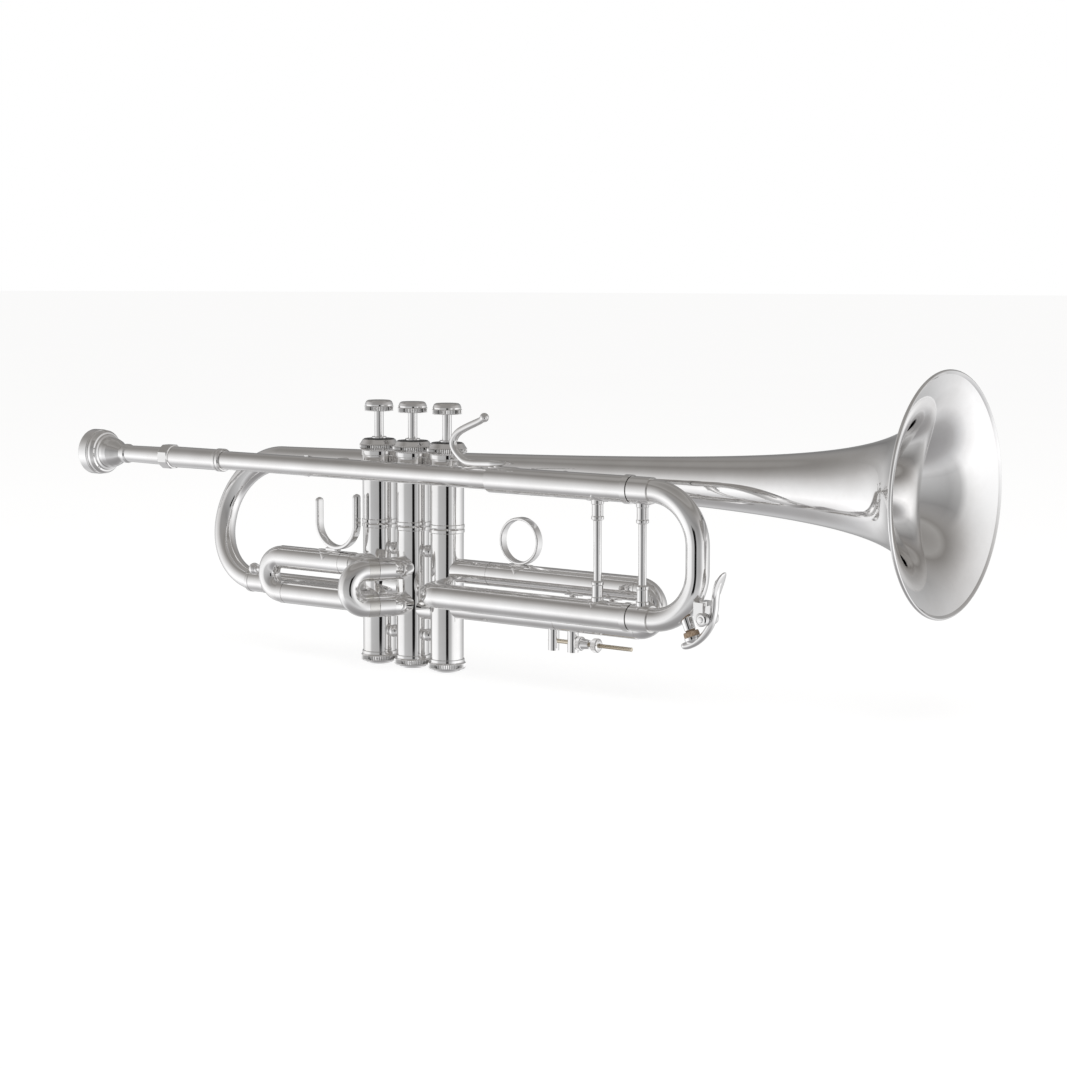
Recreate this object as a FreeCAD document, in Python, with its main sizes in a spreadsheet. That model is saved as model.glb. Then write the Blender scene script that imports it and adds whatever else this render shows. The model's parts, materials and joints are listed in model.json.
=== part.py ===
import FreeCAD, Part
import math
import operator
import os

import Sketcher
from FreeCAD import Placement, Rotation, Vector

# A B-flat trumpet.  +X points out of the bell, +Z up along the valves and -Y to the
# player's right.  The origin is the middle of the second valve's bottom cap, on its
# lower face.  Millimetres.
SIZES = dict(
    bore=11.66, wall=0.4, running_gap=0.05,
    # valves
    valve_pitch=24.4, casing_outer=9.45, casing_inner=8.45, casing_low=4.2, casing_top=120.6,
    balance_height=80.2, piston_low=19.5, port_section_top=80.0, barrel_top=114.0, stroke=15.4,
    stem_radius=2.6, button_radius=8.45, button_low=143.6, button_top=149.6,
    top_cap_radius=11.2, cap_low=118.6, cap_top=127.6, bottom_cap_radius=10.6,
    guide_height=83.0,
    # heights of the air passages between the casings and into the horn's tail
    crossing_32=34.0, crossing_21=46.0, tail_height=38.8,
    # leadpipe and main slide
    lead_y=-19.6, lead_height=111.4, lead_drop=66.4, leg_y=-18.8, leg_radius=6.3,
    tube_radius=7.0, tube_start=69.0, tube_end=160.5, ferrule_end=172.8, crook_radius=6.1,
    crook_bend=27.0, receiver_start=-172.0, receiver_end=-125.5, lead_radius=5.5,
    elbow_bend=9.0, main_brace_x=139.0, tuning_brace_x=166.9,
    # mouthpiece
    rim_radius=13.6, rim_x=-235.3, shank_end=-150.0,
    # valve slides: outer tubes, inner legs and the height of each slide's two tubes
    slide_low=36.9, slide_gap=20.2, slide_outer=6.65, slide_inner=6.2,
    first_y=-13.7, first_joint=-39.0, first_end=-82.0, first_bend_x=-86.0,
    second_turn=32.0, second_bend=9.0,
    third_joint=56.0, third_low_joint=101.0, third_end=147.0, third_bend_x=152.5,
    ring_x=75.4, ring_radius=12.95, ring_width=3.6,
    rod_height=24.4, rod_radius=1.15, post_x=97.6, rider_x=110.3,
    # bell
    bell_y=22.6, bell_height=111.4, bell_tilt=0.6, rim_end=316.4, bell_mouth=61.1,
    flare_length=9.3, flare_power=0.55, bell_wall=0.5, flare_start=205.0,
    bow_x=-116.8, bow_radius=6.1, tail_radius=6.2,
    # water key
    key_x=206.0, key_height=48.6,
)

doc = FreeCAD.newDocument("trumpet")
sheet = doc.addObject("Spreadsheet::Sheet", "Dims")
for row, (alias, value) in enumerate(SIZES.items(), 1):
    sheet.set(f"A{row}", alias)
    sheet.set(f"B{row}", str(value))
    sheet.setAlias(f"B{row}", alias)
doc.recompute()


class Dim(float):
    """A number that remembers the spreadsheet expression it was worked out from."""

    def __new__(cls, number, text):
        self = float.__new__(cls, number)
        self.text = text
        return self

    def __neg__(self):
        return Dim(-float(self), f"(-1 * {self.text})")


def text_of(number):
    return number.text if isinstance(number, Dim) else repr(float(number))


def arithmetic(symbol, work):
    def forward(self, other):
        return Dim(work(float(self), float(other)), f"({self.text} {symbol} {text_of(other)})")

    def reverse(self, other):
        return Dim(work(float(other), float(self)), f"({text_of(other)} {symbol} {self.text})")

    return forward, reverse


Dim.__add__, Dim.__radd__ = arithmetic("+", operator.add)
Dim.__sub__, Dim.__rsub__ = arithmetic("-", operator.sub)
Dim.__mul__, Dim.__rmul__ = arithmetic("*", operator.mul)
Dim.__truediv__, Dim.__rtruediv__ = arithmetic("/", operator.truediv)


class Sizes:
    """The spreadsheet's cells as Dims: S.bore is the cell whose alias is bore."""

    def __getattr__(self, alias):
        return Dim(sheet.get(alias), f"Dims.{alias}")


S = Sizes()
BORE = S.bore / 2
NODES = []

X_AXIS, Y_AXIS, Z_AXIS = Vector(1, 0, 0), Vector(0, 1, 0), Vector(0, 0, 1)


def along(direction):
    """The turn that carries +Z onto a direction."""
    return Rotation(Z_AXIS, Vector(*direction))


def plane(x_dir, y_dir):
    """The turn whose local X and Y axes are the two given directions."""
    x_dir, y_dir = Vector(*x_dir), Vector(*y_dir)
    return Rotation(x_dir, y_dir, x_dir.cross(y_dir), "XYZ")


def bind(obj, name, value):
    """Tie a property to the sheet, when its value came from there."""
    if isinstance(value, Dim):
        obj.setExpression(name, value.text)


def put(obj, at, turn=Rotation()):
    obj.Placement = Placement(Vector(*(float(v) for v in at)), turn)
    for letter, value in zip("xyz", at):
        bind(obj, f"Placement.Base.{letter}", value)
    return obj


def shape(kind, name, at=(0, 0, 0), turn=Rotation(), **sizes):
    """A Part primitive or boolean."""
    obj = doc.addObject("Part::" + kind, name)
    for key, value in sizes.items():
        setattr(obj, key, value)
        bind(obj, key, value)
    return put(obj, at, turn)


def cylinder(name, radius, start, direction, length):
    return shape("Cylinder", name, start, along(direction), Radius=radius, Height=length)


def boolean(kind, name, base, *tools):
    """Cut or Common with one tool, chained, or a fusion of all."""
    if kind == "Fuse":
        return shape("MultiFuse", name, Shapes=[base, *tools])
    for number, tool in enumerate(tools):
        base = shape(kind, f"{name}_{number}", Base=base, Tool=tool)
    return base


def node(label, obj):
    """Give a finished sub-part its name."""
    obj.Label = label
    NODES.append(obj)
    return obj


def sketch(body, role, name):
    item = body.newObject("Sketcher::SketchObject", name)
    origin_plane = next(f for f in body.Origin.OriginFeatures if f.Role == role)
    item.AttachmentSupport = [(origin_plane, "")]
    item.MapMode = "FlatFace"
    return item


def pin_point(item, geometry, which, point):
    """Hold a sketch point at its coordinates."""
    for kind, value in zip(("DistanceX", "DistanceY"), point):
        number = item.addConstraint(Sketcher.Constraint(kind, -1, 1, geometry, which, float(value)))
        bind(item, f"Constraints[{number}]", value)


def circle(item, radius):
    number = item.addGeometry(Part.Circle(Vector(0, 0, 0), Z_AXIS, float(radius)))
    item.addConstraint(Sketcher.Constraint("Coincident", number, 3, -1, 1))
    held = item.addConstraint(Sketcher.Constraint("Radius", number, float(radius)))
    bind(item, f"Constraints[{held}]", radius)


def lathe(name, outline, at=(0, 0, 0), turn=Rotation()):
    """A turned body: the closed outline of (radius, height) points spun about local Z."""
    body = doc.addObject("PartDesign::Body", name)
    item = sketch(body, "XZ_Plane", name + "_outline")
    count = len(outline)
    corners = [Vector(float(r), float(h), 0) for r, h in outline]
    for i in range(count):
        item.addGeometry(Part.LineSegment(corners[i], corners[(i + 1) % count]))
    for i in range(count):
        item.addConstraint(Sketcher.Constraint("Coincident", i, 2, (i + 1) % count, 1))
        pin_point(item, i, 1, outline[i])
    spin = body.newObject("PartDesign::Revolution", name + "_spin")
    spin.Profile = item
    spin.ReferenceAxis = (item, ["V_Axis"])
    spin.Angle = 360
    return put(body, at, turn)


def tube(name, outer, inner, start, direction, length):
    outline = [(inner, 0.0), (outer, 0.0), (outer, length), (inner, length)]
    return lathe(name, outline, start, along(direction))


def pipe(name, corners, radii, outer, inner, at=(0, 0, 0), turn=Rotation()):
    """A round tube whose path runs in the local XY plane from the origin along +X, with
    a tangent arc of the given radius at every corner.  inner=None makes it solid."""
    body = doc.addObject("PartDesign::Body", name)
    path = sketch(body, "XY_Plane", name + "_path")
    points = [Vector(0, 0, 0)] + [Vector(float(x), float(y), 0) for x, y in corners]
    entry, last_arc = points[0], None
    for i, radius in enumerate(radii, 1):
        before = (points[i] - points[i - 1]).normalize()
        after = (points[i + 1] - points[i]).normalize()
        half_turn = math.acos(before.dot(after)) / 2
        reach = float(radius) * math.tan(half_turn)
        side = 1 if before.cross(after).z > 0 else -1
        left_of = Vector(-before.y, before.x, 0) * side
        start, end = points[i] - before * reach, points[i] + after * reach
        middle = start + left_of * float(radius)
        on_arc = middle + (points[i] - middle).normalize() * float(radius)
        line = path.addGeometry(Part.LineSegment(entry, start))
        arc = path.addGeometry(Part.Arc(start, on_arc, end))
        corner = path.addGeometry(Part.Point(points[i]), True)
        pin_point(path, corner, 1, corners[i - 1])
        if last_arc is None:
            pin_point(path, line, 1, (0.0, 0.0))
        else:
            join_tangent(path, last_arc, line)
        path.addConstraint(Sketcher.Constraint("PointOnObject", corner, 1, line))
        join_tangent(path, line, arc)
        held = path.addConstraint(Sketcher.Constraint("Radius", arc, float(radius)))
        bind(path, f"Constraints[{held}]", radius)
        entry, last_arc = end, arc
    line = path.addGeometry(Part.LineSegment(entry, points[-1]))
    pin_point(path, line, 2, corners[-1])
    join_tangent(path, last_arc, line)
    profile = sketch(body, "YZ_Plane", name + "_section")
    circle(profile, outer)
    if inner is not None:
        circle(profile, inner)
    sweep = body.newObject("PartDesign::AdditivePipe", name + "_sweep")
    sweep.Profile = profile
    sweep.Spine = path
    return put(body, at, turn)


def join_tangent(path, first, second):
    """Join the end of one path element to the start of the next, tangentially."""
    ends = [end_nearest(path, first, second), end_nearest(path, second, first)]
    path.addConstraint(Sketcher.Constraint("Tangent", first, ends[0], second, ends[1]))


def end_nearest(path, one, other):
    gaps = {}
    for mine in (1, 2):
        for theirs in (1, 2):
            gap = path.getPoint(one, mine).distanceToPoint(path.getPoint(other, theirs))
            gaps[gap] = mine
    return gaps[min(gaps)]


def crook(name, spacing, bend, straight, outer, inner, at, turn):
    """A U of tube: out along local +X, across by the spacing and back again."""
    corners = [(straight + bend, 0.0), (straight + bend, spacing), (0.0, spacing)]
    return pipe(name, corners, [bend, bend], outer, inner, at, turn)


def flange(name, tube_radius, reach, centre, axis, side):
    """A diamond foot, pointed both ways, lying on a tube of the given axis."""
    shell = boolean("Cut", name + "_shell",
                    shape("Cylinder", name + "_out", centre, along(axis),
                          Radius=tube_radius + 0.5, Height=reach * 2),
                    shape("Cylinder", name + "_in", centre, along(axis),
                          Radius=tube_radius, Height=reach * 2))
    middle = [c + a * reach for c, a in zip(centre, axis)]
    prism = shape("Prism", name + "_prism", middle, diamond_turn(axis, side), Polygon=4,
                  Circumradius=reach, Height=tube_radius + 1)
    return boolean("Common", name, shell, prism)


def diamond_turn(axis, side):
    """Local Z along the side direction, local X (a prism's point) along the tube."""
    side, axis = Vector(*side), Vector(*axis)
    return Rotation(axis, side.cross(axis), side, "ZXY")


# ---------------------------------------------------------------- valves
VALVE_X = {1: -S.valve_pitch, 2: S.valve_pitch * 0, 3: S.valve_pitch}
HIGH, LOW = S.slide_low + S.slide_gap, S.slide_low
RIGHT, FRONT, BACK = (0, -1, 0), (1, 0, 0), (-1, 0, 0)
LEG_HEIGHT = S.lead_height - S.lead_drop

# For each valve the ports as (direction, height): in, out, and the slide's two ends in
# the order in which the air meets them when the valve is down.
PORTS = {
    3: ((RIGHT, LEG_HEIGHT), (BACK, S.crossing_32), (FRONT, HIGH), (FRONT, LOW)),
    2: ((FRONT, S.crossing_32), (BACK, S.crossing_21), (RIGHT, LOW), (RIGHT, HIGH)),
    1: ((FRONT, S.crossing_21), (BACK, S.tail_height), (RIGHT, HIGH), (RIGHT, LOW)),
}


def casing(number):
    """The two-piece casing, with its double bead where the halves meet."""
    outer, inner, middle = S.casing_outer, S.casing_inner, S.balance_height
    name = f"casing{number}"
    body = lathe(name, [
        (inner, S.casing_low), (inner + 0.55, S.casing_low), (inner + 0.55, 7.3),
        (outer - 0.15, 7.3), (outer - 0.15, middle - 2.5), (outer + 0.35, middle - 2.1),
        (outer + 0.35, middle - 0.6), (outer, middle), (outer + 0.35, middle + 0.6),
        (outer + 0.35, middle + 2.1), (outer, middle + 2.5), (outer, S.cap_low),
        (inner + 0.6, S.cap_low), (inner + 0.6, S.casing_top), (inner, S.casing_top)],
        (VALVE_X[number], 0, 0))
    cuts = [cylinder(f"{name}_port{i}", BORE, (VALVE_X[number], 0, height), direction, 12)
            for i, (direction, height) in enumerate(PORTS[number])]
    cuts += [shape("Box", f"{name}_key{side}",
                   (VALVE_X[number] - 1.3, side * 8.4 - 0.5, S.guide_height - 0.2),
                   Length=2.6, Width=1, Height=S.casing_top)
             for side in (-1, 1)]
    return node(f"valve_casing_{number}", boolean("Cut", name + "_ported", body, *cuts))


def passage(name, x, start, end, shift):
    """Two bores that meet on the valve's axis, joining two of the piston's ports."""
    middle = (start[1] + end[1]) / 2 + shift
    pieces = [shape("Sphere", name + "_elbow", (x, 0, middle), Radius=BORE - 1)]
    for i, (direction, height) in enumerate((start, end)):
        edge = S.casing_inner + 1
        rise = float(height + shift - middle)
        aim = (direction[0] * float(edge), direction[1] * float(edge), rise)
        pieces.append(cylinder(f"{name}_{i}", BORE - 1, (x, 0, middle), aim, edge * 1.2))
    return pieces


def piston(number):
    """The ported piston, with the spring barrel and its two key slots above."""
    x, name = VALVE_X[number], f"piston{number}"
    radius, top = S.casing_inner - S.running_gap, S.barrel_top
    body = lathe(name, [
        (0.0, S.piston_low), (radius - 0.8, S.piston_low), (radius, S.piston_low + 0.8),
        (radius, top - 0.6), (radius - 0.6, top), (S.stem_radius, top),
        (S.stem_radius, top - 2), (radius - 1.0, top - 2), (radius - 1.0, S.port_section_top),
        (0.0, S.port_section_top)], (x, 0, 0))
    enter, leave, slide_in, slide_out = PORTS[number]
    tools = passage(name + "_open", x, enter, leave, 0)
    tools += passage(name + "_out", x, enter, slide_in, S.stroke)
    tools += passage(name + "_back", x, slide_out, leave, S.stroke)
    tools.append(shape("Box", name + "_slot", (x - 1.5, -10, S.guide_height - 0.4),
                       Length=3, Width=20, Height=S.stroke + 3))
    return node(f"piston_{number}", boolean("Cut", name + "_ported", body, *tools))


def stem(number):
    """The stem, screwed into the top of the barrel."""
    radius = S.stem_radius
    return node(f"valve_stem_{number}", lathe(f"stem{number}", [
        (0.0, S.barrel_top - 2), (radius, S.barrel_top - 2), (radius, S.button_low + 3),
        (0.0, S.button_low + 3)], (VALVE_X[number], 0, 0)))


def button(number):
    """The finger button: a flat top, a rounded shoulder and a cupped underside."""
    radius, low, top = S.button_radius, S.button_low, S.button_top
    return node(f"finger_button_{number}", lathe(f"button{number}", [
        (0.0, low + 3), (S.stem_radius, low + 3), (S.stem_radius + 0.6, low + 3),
        (S.stem_radius + 0.6, low + 1.6), (radius - 1.6, low + 1.6), (radius - 1.2, low),
        (radius - 0.5, low), (radius, low + 0.7), (radius, low + 2.3), (radius - 0.5, low + 2.9),
        (radius - 0.7, low + 3.8), (radius - 1.8, top - 0.7), (radius - 3.0, top), (0.0, top)],
        (VALVE_X[number], 0, 0)))


def spring(number):
    """The coil spring between the fixed guide and the top of the barrel."""
    base = S.guide_height + 2.1
    coil = shape("Helix", f"coil{number}", (VALVE_X[number], 0, base + 0.5),
                 Radius=5.6, Pitch=2.2, Height=S.barrel_top - 2.6 - base - 0.5)
    wire = shape("Circle", f"wire{number}", (VALVE_X[number] + 5.6, 0, base + 0.5),
                 along((0, 1, 0)), Radius=0.4)
    return node(f"valve_spring_{number}", shape(
        "Sweep", f"spring{number}", Sections=[wire], Spine=(coil, []), Solid=True, Frenet=True))


def cap_set():
    """Top caps, their felts, the bottom caps and the keyed guides, one of each per valve."""
    outer, low, top, bottom = S.top_cap_radius, S.cap_low, S.cap_top, S.bottom_cap_radius
    clear, thread = S.stem_radius + 0.25, S.casing_inner + 0.65
    tops, felts, bottoms, guides = [], [], [], []
    for number, x in VALVE_X.items():
        tops.append(lathe(f"top_cap{number}", [
            (thread, low), (S.casing_outer + 0.45, low), (S.casing_outer + 0.45, low + 3),
            (outer - 0.9, low + 3.4), (outer, low + 5), (outer - 0.5, low + 6.4), (8.9, top),
            (8.65, top), (8.65, top - 0.6), (clear + 1.3, top - 0.6), (clear + 1.3, top + 1.5),
            (clear, top + 1.5), (clear, S.casing_top + 0.6), (thread, S.casing_top + 0.6)],
            (x, 0, 0)))
        felts.append(tube(f"felt{number}", 8.6, clear + 1.35, (x, 0, top - 0.6), (0, 0, 1), 1.0))
        bottoms.append(lathe(f"bottom_cap{number}", [
            (0.0, 0.0), (6.2, 0.0), (7.4, 0.5), (7.7, 1.2), (bottom - 0.9, 1.7), (bottom, 3.0),
            (bottom, 4.6), (bottom - 0.6, 5.3), (S.casing_outer + 0.35, 5.9),
            (S.casing_outer + 0.35, 7.2), (thread, 7.2), (thread, 2.4), (0.0, 2.4)], (x, 0, 0)))
        ring = tube(f"guide{number}", 7.2, 2.9, (x, 0, S.guide_height), (0, 0, 1), 2.0)
        ears = shape("Box", f"guide_ears{number}", (x - 1.2, -8.75, S.guide_height),
                     Length=2.4, Width=17.5, Height=2)
        hole = cylinder(f"guide_hole{number}", 2.9, (x, 0, S.guide_height - 1), (0, 0, 1), 4)
        guides.append(boolean("Cut", f"guide_keyed{number}",
                              boolean("Fuse", f"guide_eared{number}", ring, ears), hole))
    for label, pieces in (("top_caps", tops), ("top_cap_felts", felts),
                          ("bottom_caps", bottoms), ("valve_guides", guides)):
        node(label, shape("Compound", label + "_set", Links=pieces))


def block_fittings():
    """What ties the three casings to each other, to the leadpipe and to the bell."""
    half = S.valve_pitch / 2
    casings = {n: cylinder(f"trim{n}", S.casing_outer, (VALVE_X[n], 0, 0), (0, 0, 1), S.casing_top)
               for n in VALVE_X}
    balls = []
    for side, height in ((-1, 66.5), (-1, 19.3), (1, 66.5), (1, 19.3)):
        ball = shape("Sphere", f"ball{side}{int(height)}", (half * side, -1.5, height), Radius=3.6)
        near = (1, 2) if side < 0 else (2, 3)
        balls.append(boolean("Cut", f"ball_trim{side}{int(height)}", ball,
                             *(casings[n] for n in near)))
    crossings = []
    for first, second, height in ((1, 2, S.crossing_21), (2, 3, S.crossing_32)):
        full = tube(f"crossing{first}", BORE + S.wall, BORE, (VALVE_X[first], 0, height),
                    FRONT, S.valve_pitch)
        crossings.append(boolean("Cut", f"crossing_trim{first}", full,
                                 casings[first], casings[second]))
    node("crossover_tubes", shape("Compound", "crossing_set", Links=crossings))
    posts = []
    lead = cylinder("trim_lead", S.lead_radius + 0.25, (-60, S.lead_y, S.lead_height), FRONT, 120)
    bell = cylinder("trim_bell", 9.7, (-60, S.bell_y, S.bell_height), FRONT, 120)
    for number in (1, 3):
        for side, pipe_y, trim in ((-1, S.lead_y, lead), (1, S.bell_y, bell)):
            post = cylinder(f"post{number}{side}", 2.4, (VALVE_X[number], 0, S.lead_height),
                            (0, side, 0), abs(float(pipe_y)))
            posts.append(boolean("Cut", f"post_trim{number}{side}", post, casings[number], trim))
    node("valve_block_stays", shape("Compound", "stay_set_block", Links=balls + posts))
    return casings


for valve in (1, 2, 3):
    casing(valve)
    piston(valve)
    stem(valve)
    button(valve)
    spring(valve)
cap_set()
TRIM = block_fittings()

# ---------------------------------------------------------------- leadpipe side
X_FRAME = plane((1, 0, 0), (0, 0, 1))
DOWN_FRAME = plane((1, 0, 0), (0, 0, -1))


def mouthpiece():
    """Rim, cup, turned ring and shank, with the cup and backbore inside."""
    rim, shank = S.rim_radius, S.shank_end - S.rim_x
    outline = [
        (8.3, 0.6), (9.3, 0.0), (rim - 1.6, 0.0), (rim - 0.3, 0.8), (rim, 2.2), (rim, 4.2),
        (rim - 0.5, 6.3), (11.9, 11.4), (10.2, 16.0), (8.4, 20.4), (6.6, 25.0), (5.5, 29.0),
        (5.4, 31.5), (6.1, 32.6), (6.1, 34.4), (5.6, 35.4), (5.9, 37.5), (5.9, 61.5),
        (5.2, shank), (4.4, shank), (1.85, 40.0), (1.85, 20.0), (4.2, 15.5), (6.9, 10.0),
        (8.1, 4.0)]
    node("mouthpiece", lathe("mouthpiece_body", outline, (S.rim_x, S.lead_y, S.lead_height),
                             along(FRONT)))


def receiver():
    """The socket: a faceted collar, a plain barrel and a double ring over the leadpipe."""
    length = S.receiver_end - S.receiver_start
    socket_end = S.shank_end - S.receiver_start + 0.5
    body = lathe("receiver_body", [
        (6.0, 0.0), (6.9, 0.0), (7.5, 0.9), (7.5, 12.8), (6.9, 13.6), (6.45, 14.2),
        (6.6, length - 5), (6.95, length - 4.6), (6.95, length - 2.9), (6.6, length - 2.5),
        (6.95, length - 2.1), (6.95, length - 0.5), (6.6, length), (S.lead_radius, length),
        (S.lead_radius, length - 22), (5.3, length - 22), (5.3, socket_end)],
        (S.receiver_start, S.lead_y, S.lead_height), along(FRONT))
    node("mouthpiece_receiver", body)


def leadpipe():
    start, end = S.receiver_end - 21.9, S.tube_start + 10
    node("leadpipe", lathe("leadpipe_body", [
        (4.6, 0.0), (S.lead_radius - 0.05, 0.0), (S.lead_radius - 0.05, 22.0),
        (S.lead_radius + 0.2, end - start), (BORE - 0.6, end - start)],
        (start, S.lead_y, S.lead_height), along(FRONT)))


def main_outer_tubes():
    """The two fixed outer tubes of the tuning slide, each ending in a beaded ring."""
    outer, inner = S.tube_radius, S.leg_radius + S.running_gap
    length, start = S.tube_end - S.tube_start, S.tube_start
    node("upper_slide_tube", lathe("upper_tube", [
        (S.lead_radius + 0.3, 0.0), (outer - 0.5, 0.0), (outer, 0.6), (outer, length - 4),
        (outer + 0.6, length - 3.6), (outer + 0.6, length), (inner, length), (inner, 10.6),
        (S.lead_radius + 0.3, 10.6)], (start, S.lead_y, S.lead_height), along(FRONT)))
    straight = S.tube_end - S.valve_pitch - S.elbow_bend
    elbow = pipe("lower_tube", [(straight + S.elbow_bend, 0.0),
                                (straight + S.elbow_bend, -S.leg_y)],
                 [S.elbow_bend], outer - 0.2, BORE, (S.tube_end, S.leg_y, LEG_HEIGHT),
                 plane((-1, 0, 0), (0, 1, 0)))
    sleeve_length = S.tube_end - 36.0
    wide = cylinder("lower_bore", inner, (S.tube_end - sleeve_length, S.leg_y, LEG_HEIGHT),
                    FRONT, sleeve_length)
    sleeve = lathe("lower_sleeve", [
        (outer - 0.2, 0.0), (outer, 0.0), (outer, sleeve_length - 4),
        (outer + 0.6, sleeve_length - 3.6), (outer + 0.6, sleeve_length),
        (outer - 0.2, sleeve_length)], (S.tube_end - sleeve_length, S.leg_y, LEG_HEIGHT),
        along(FRONT))
    joined = boolean("Fuse", "lower_joined", elbow, sleeve)
    node("lower_slide_tube", boolean("Cut", "lower_finished", joined, wide, TRIM[3]))


def upright_brace(name, x, reach):
    """A slim rod between the main tubes, in two sleeves that stand on diamond feet."""
    upper_y, upper_z, lower_y, lower_z = S.lead_y, S.lead_height, S.leg_y, LEG_HEIGHT
    rise, tube_radius = upper_z - lower_z, S.tube_radius
    lean = (0, float(upper_y - lower_y), float(rise))
    rod = cylinder(name + "_rod", 2.05, (x, lower_y, lower_z), lean, rise)
    low = cylinder(name + "_low", 3.2, (x, lower_y, lower_z), lean, tube_radius + 10.5)
    high = cylinder(name + "_high", 3.2, (x, upper_y, upper_z), tuple(-v for v in lean),
                    tube_radius + 10.5)
    feet = [flange(name + "_foot0", tube_radius, reach, (x - reach, lower_y, lower_z), FRONT,
                   (0, 0, 1)),
            flange(name + "_foot1", tube_radius, reach, (x - reach, upper_y, upper_z), FRONT,
                   (0, 0, -1))]
    trims = [cylinder(name + "_trim0", tube_radius, (x - 15, lower_y, lower_z), FRONT, 30),
             cylinder(name + "_trim1", tube_radius, (x - 15, upper_y, upper_z), FRONT, 30)]
    node(name, boolean("Cut", name + "_all",
                       boolean("Fuse", name + "_joined", rod, low, high, *feet), *trims))


def main_crook(name, outer, inner):
    """The wide U that joins the two main tubes, in the slightly leaning plane they share."""
    drop = math.hypot(float(S.lead_drop), float(S.lead_y - S.leg_y))
    lean = (float(S.leg_y - S.lead_y) / drop, -float(S.lead_drop) / drop)
    return crook(name, drop, S.crook_bend, 0.4, outer, inner,
                 (S.ferrule_end, S.lead_y, S.lead_height), plane((1, 0, 0), (0, *lean)))


def tuning_slide():
    """The moving slide: D-shaped crook, ferrules, two long legs and its own brace."""
    end = S.ferrule_end
    legs = [tube(f"leg{i}", S.leg_radius, BORE, (44.0 + 40 * i, y, z), FRONT, end - (44.0 + 40 * i))
            for i, (y, z) in enumerate(((S.leg_y, LEG_HEIGHT), (S.lead_y, S.lead_height)))]
    node("tuning_slide_legs", shape("Compound", "leg_set", Links=legs))
    start = S.tube_end + 0.3
    rings = [tube(f"ferrule{i}", S.tube_radius, S.leg_radius, (start, y, z), FRONT, end - start)
             for i, (y, z) in enumerate(((S.leg_y, LEG_HEIGHT), (S.lead_y, S.lead_height)))]
    node("tuning_slide_ferrules", shape("Compound", "ferrule_set", Links=rings))
    nipple_hole = cylinder("nipple_hole", 1.3, KEY_SEAT, KEY_RISE, 12)
    node("tuning_crook", boolean("Cut", "crook_holed",
                                 main_crook("crook_body", S.crook_radius, BORE - 0.1), nipple_hole))
    upright_brace("tuning_slide_brace", S.tuning_brace_x, 5.8)


def finger_hook():
    """The little-finger hook: a bent rod with a ball tip on a long pointed foot."""
    top = S.lead_height + S.lead_radius
    start = (67.0, S.lead_y, top + 2.5)
    rod = pipe("hook_rod", [(15.7, 0.0), (23.7, 9.5), (19.8, 17.0), (2.2, 24.6)],
               [7.0, 5.0, 9.0], 2.1, None, start, plane((-1, 0, 0), (0, 0, 1)))
    ball = shape("Sphere", "hook_ball", (65.2, S.lead_y, top + 27.4), Radius=2.5)
    foot = flange("hook_foot", S.lead_radius + 0.25, 9.0, (50.8, S.lead_y, S.lead_height),
                  FRONT, (0, 0, 1))
    lug = shape("Box", "hook_lug", (55.0, S.lead_y - 1.6, top - 0.6), Length=12, Width=3.2, Height=3)
    trim = cylinder("hook_trim", S.lead_radius + 0.22, (40, S.lead_y, S.lead_height), FRONT, 29)
    joined = boolean("Fuse", "hook_joined", rod, ball, foot, lug)
    node("finger_hook", boolean("Cut", "hook_all", joined, trim))


# ---------------------------------------------------------------- water key
# Where the cork meets the nipple, and the nipple's own direction, back into the crook.
KEY_SEAT = (S.key_x - 9.54, S.leg_y - 0.2, S.key_height - 7.36)
KEY_RISE = (-0.375, 0, 0.927)
KEY_DROP = (0.375, 0, -0.927)


def down_the_key(distance):
    """A point below the nipple's mouth, along its axis."""
    return [seat + step * distance for seat, step in zip(KEY_SEAT, KEY_DROP)]


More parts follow.
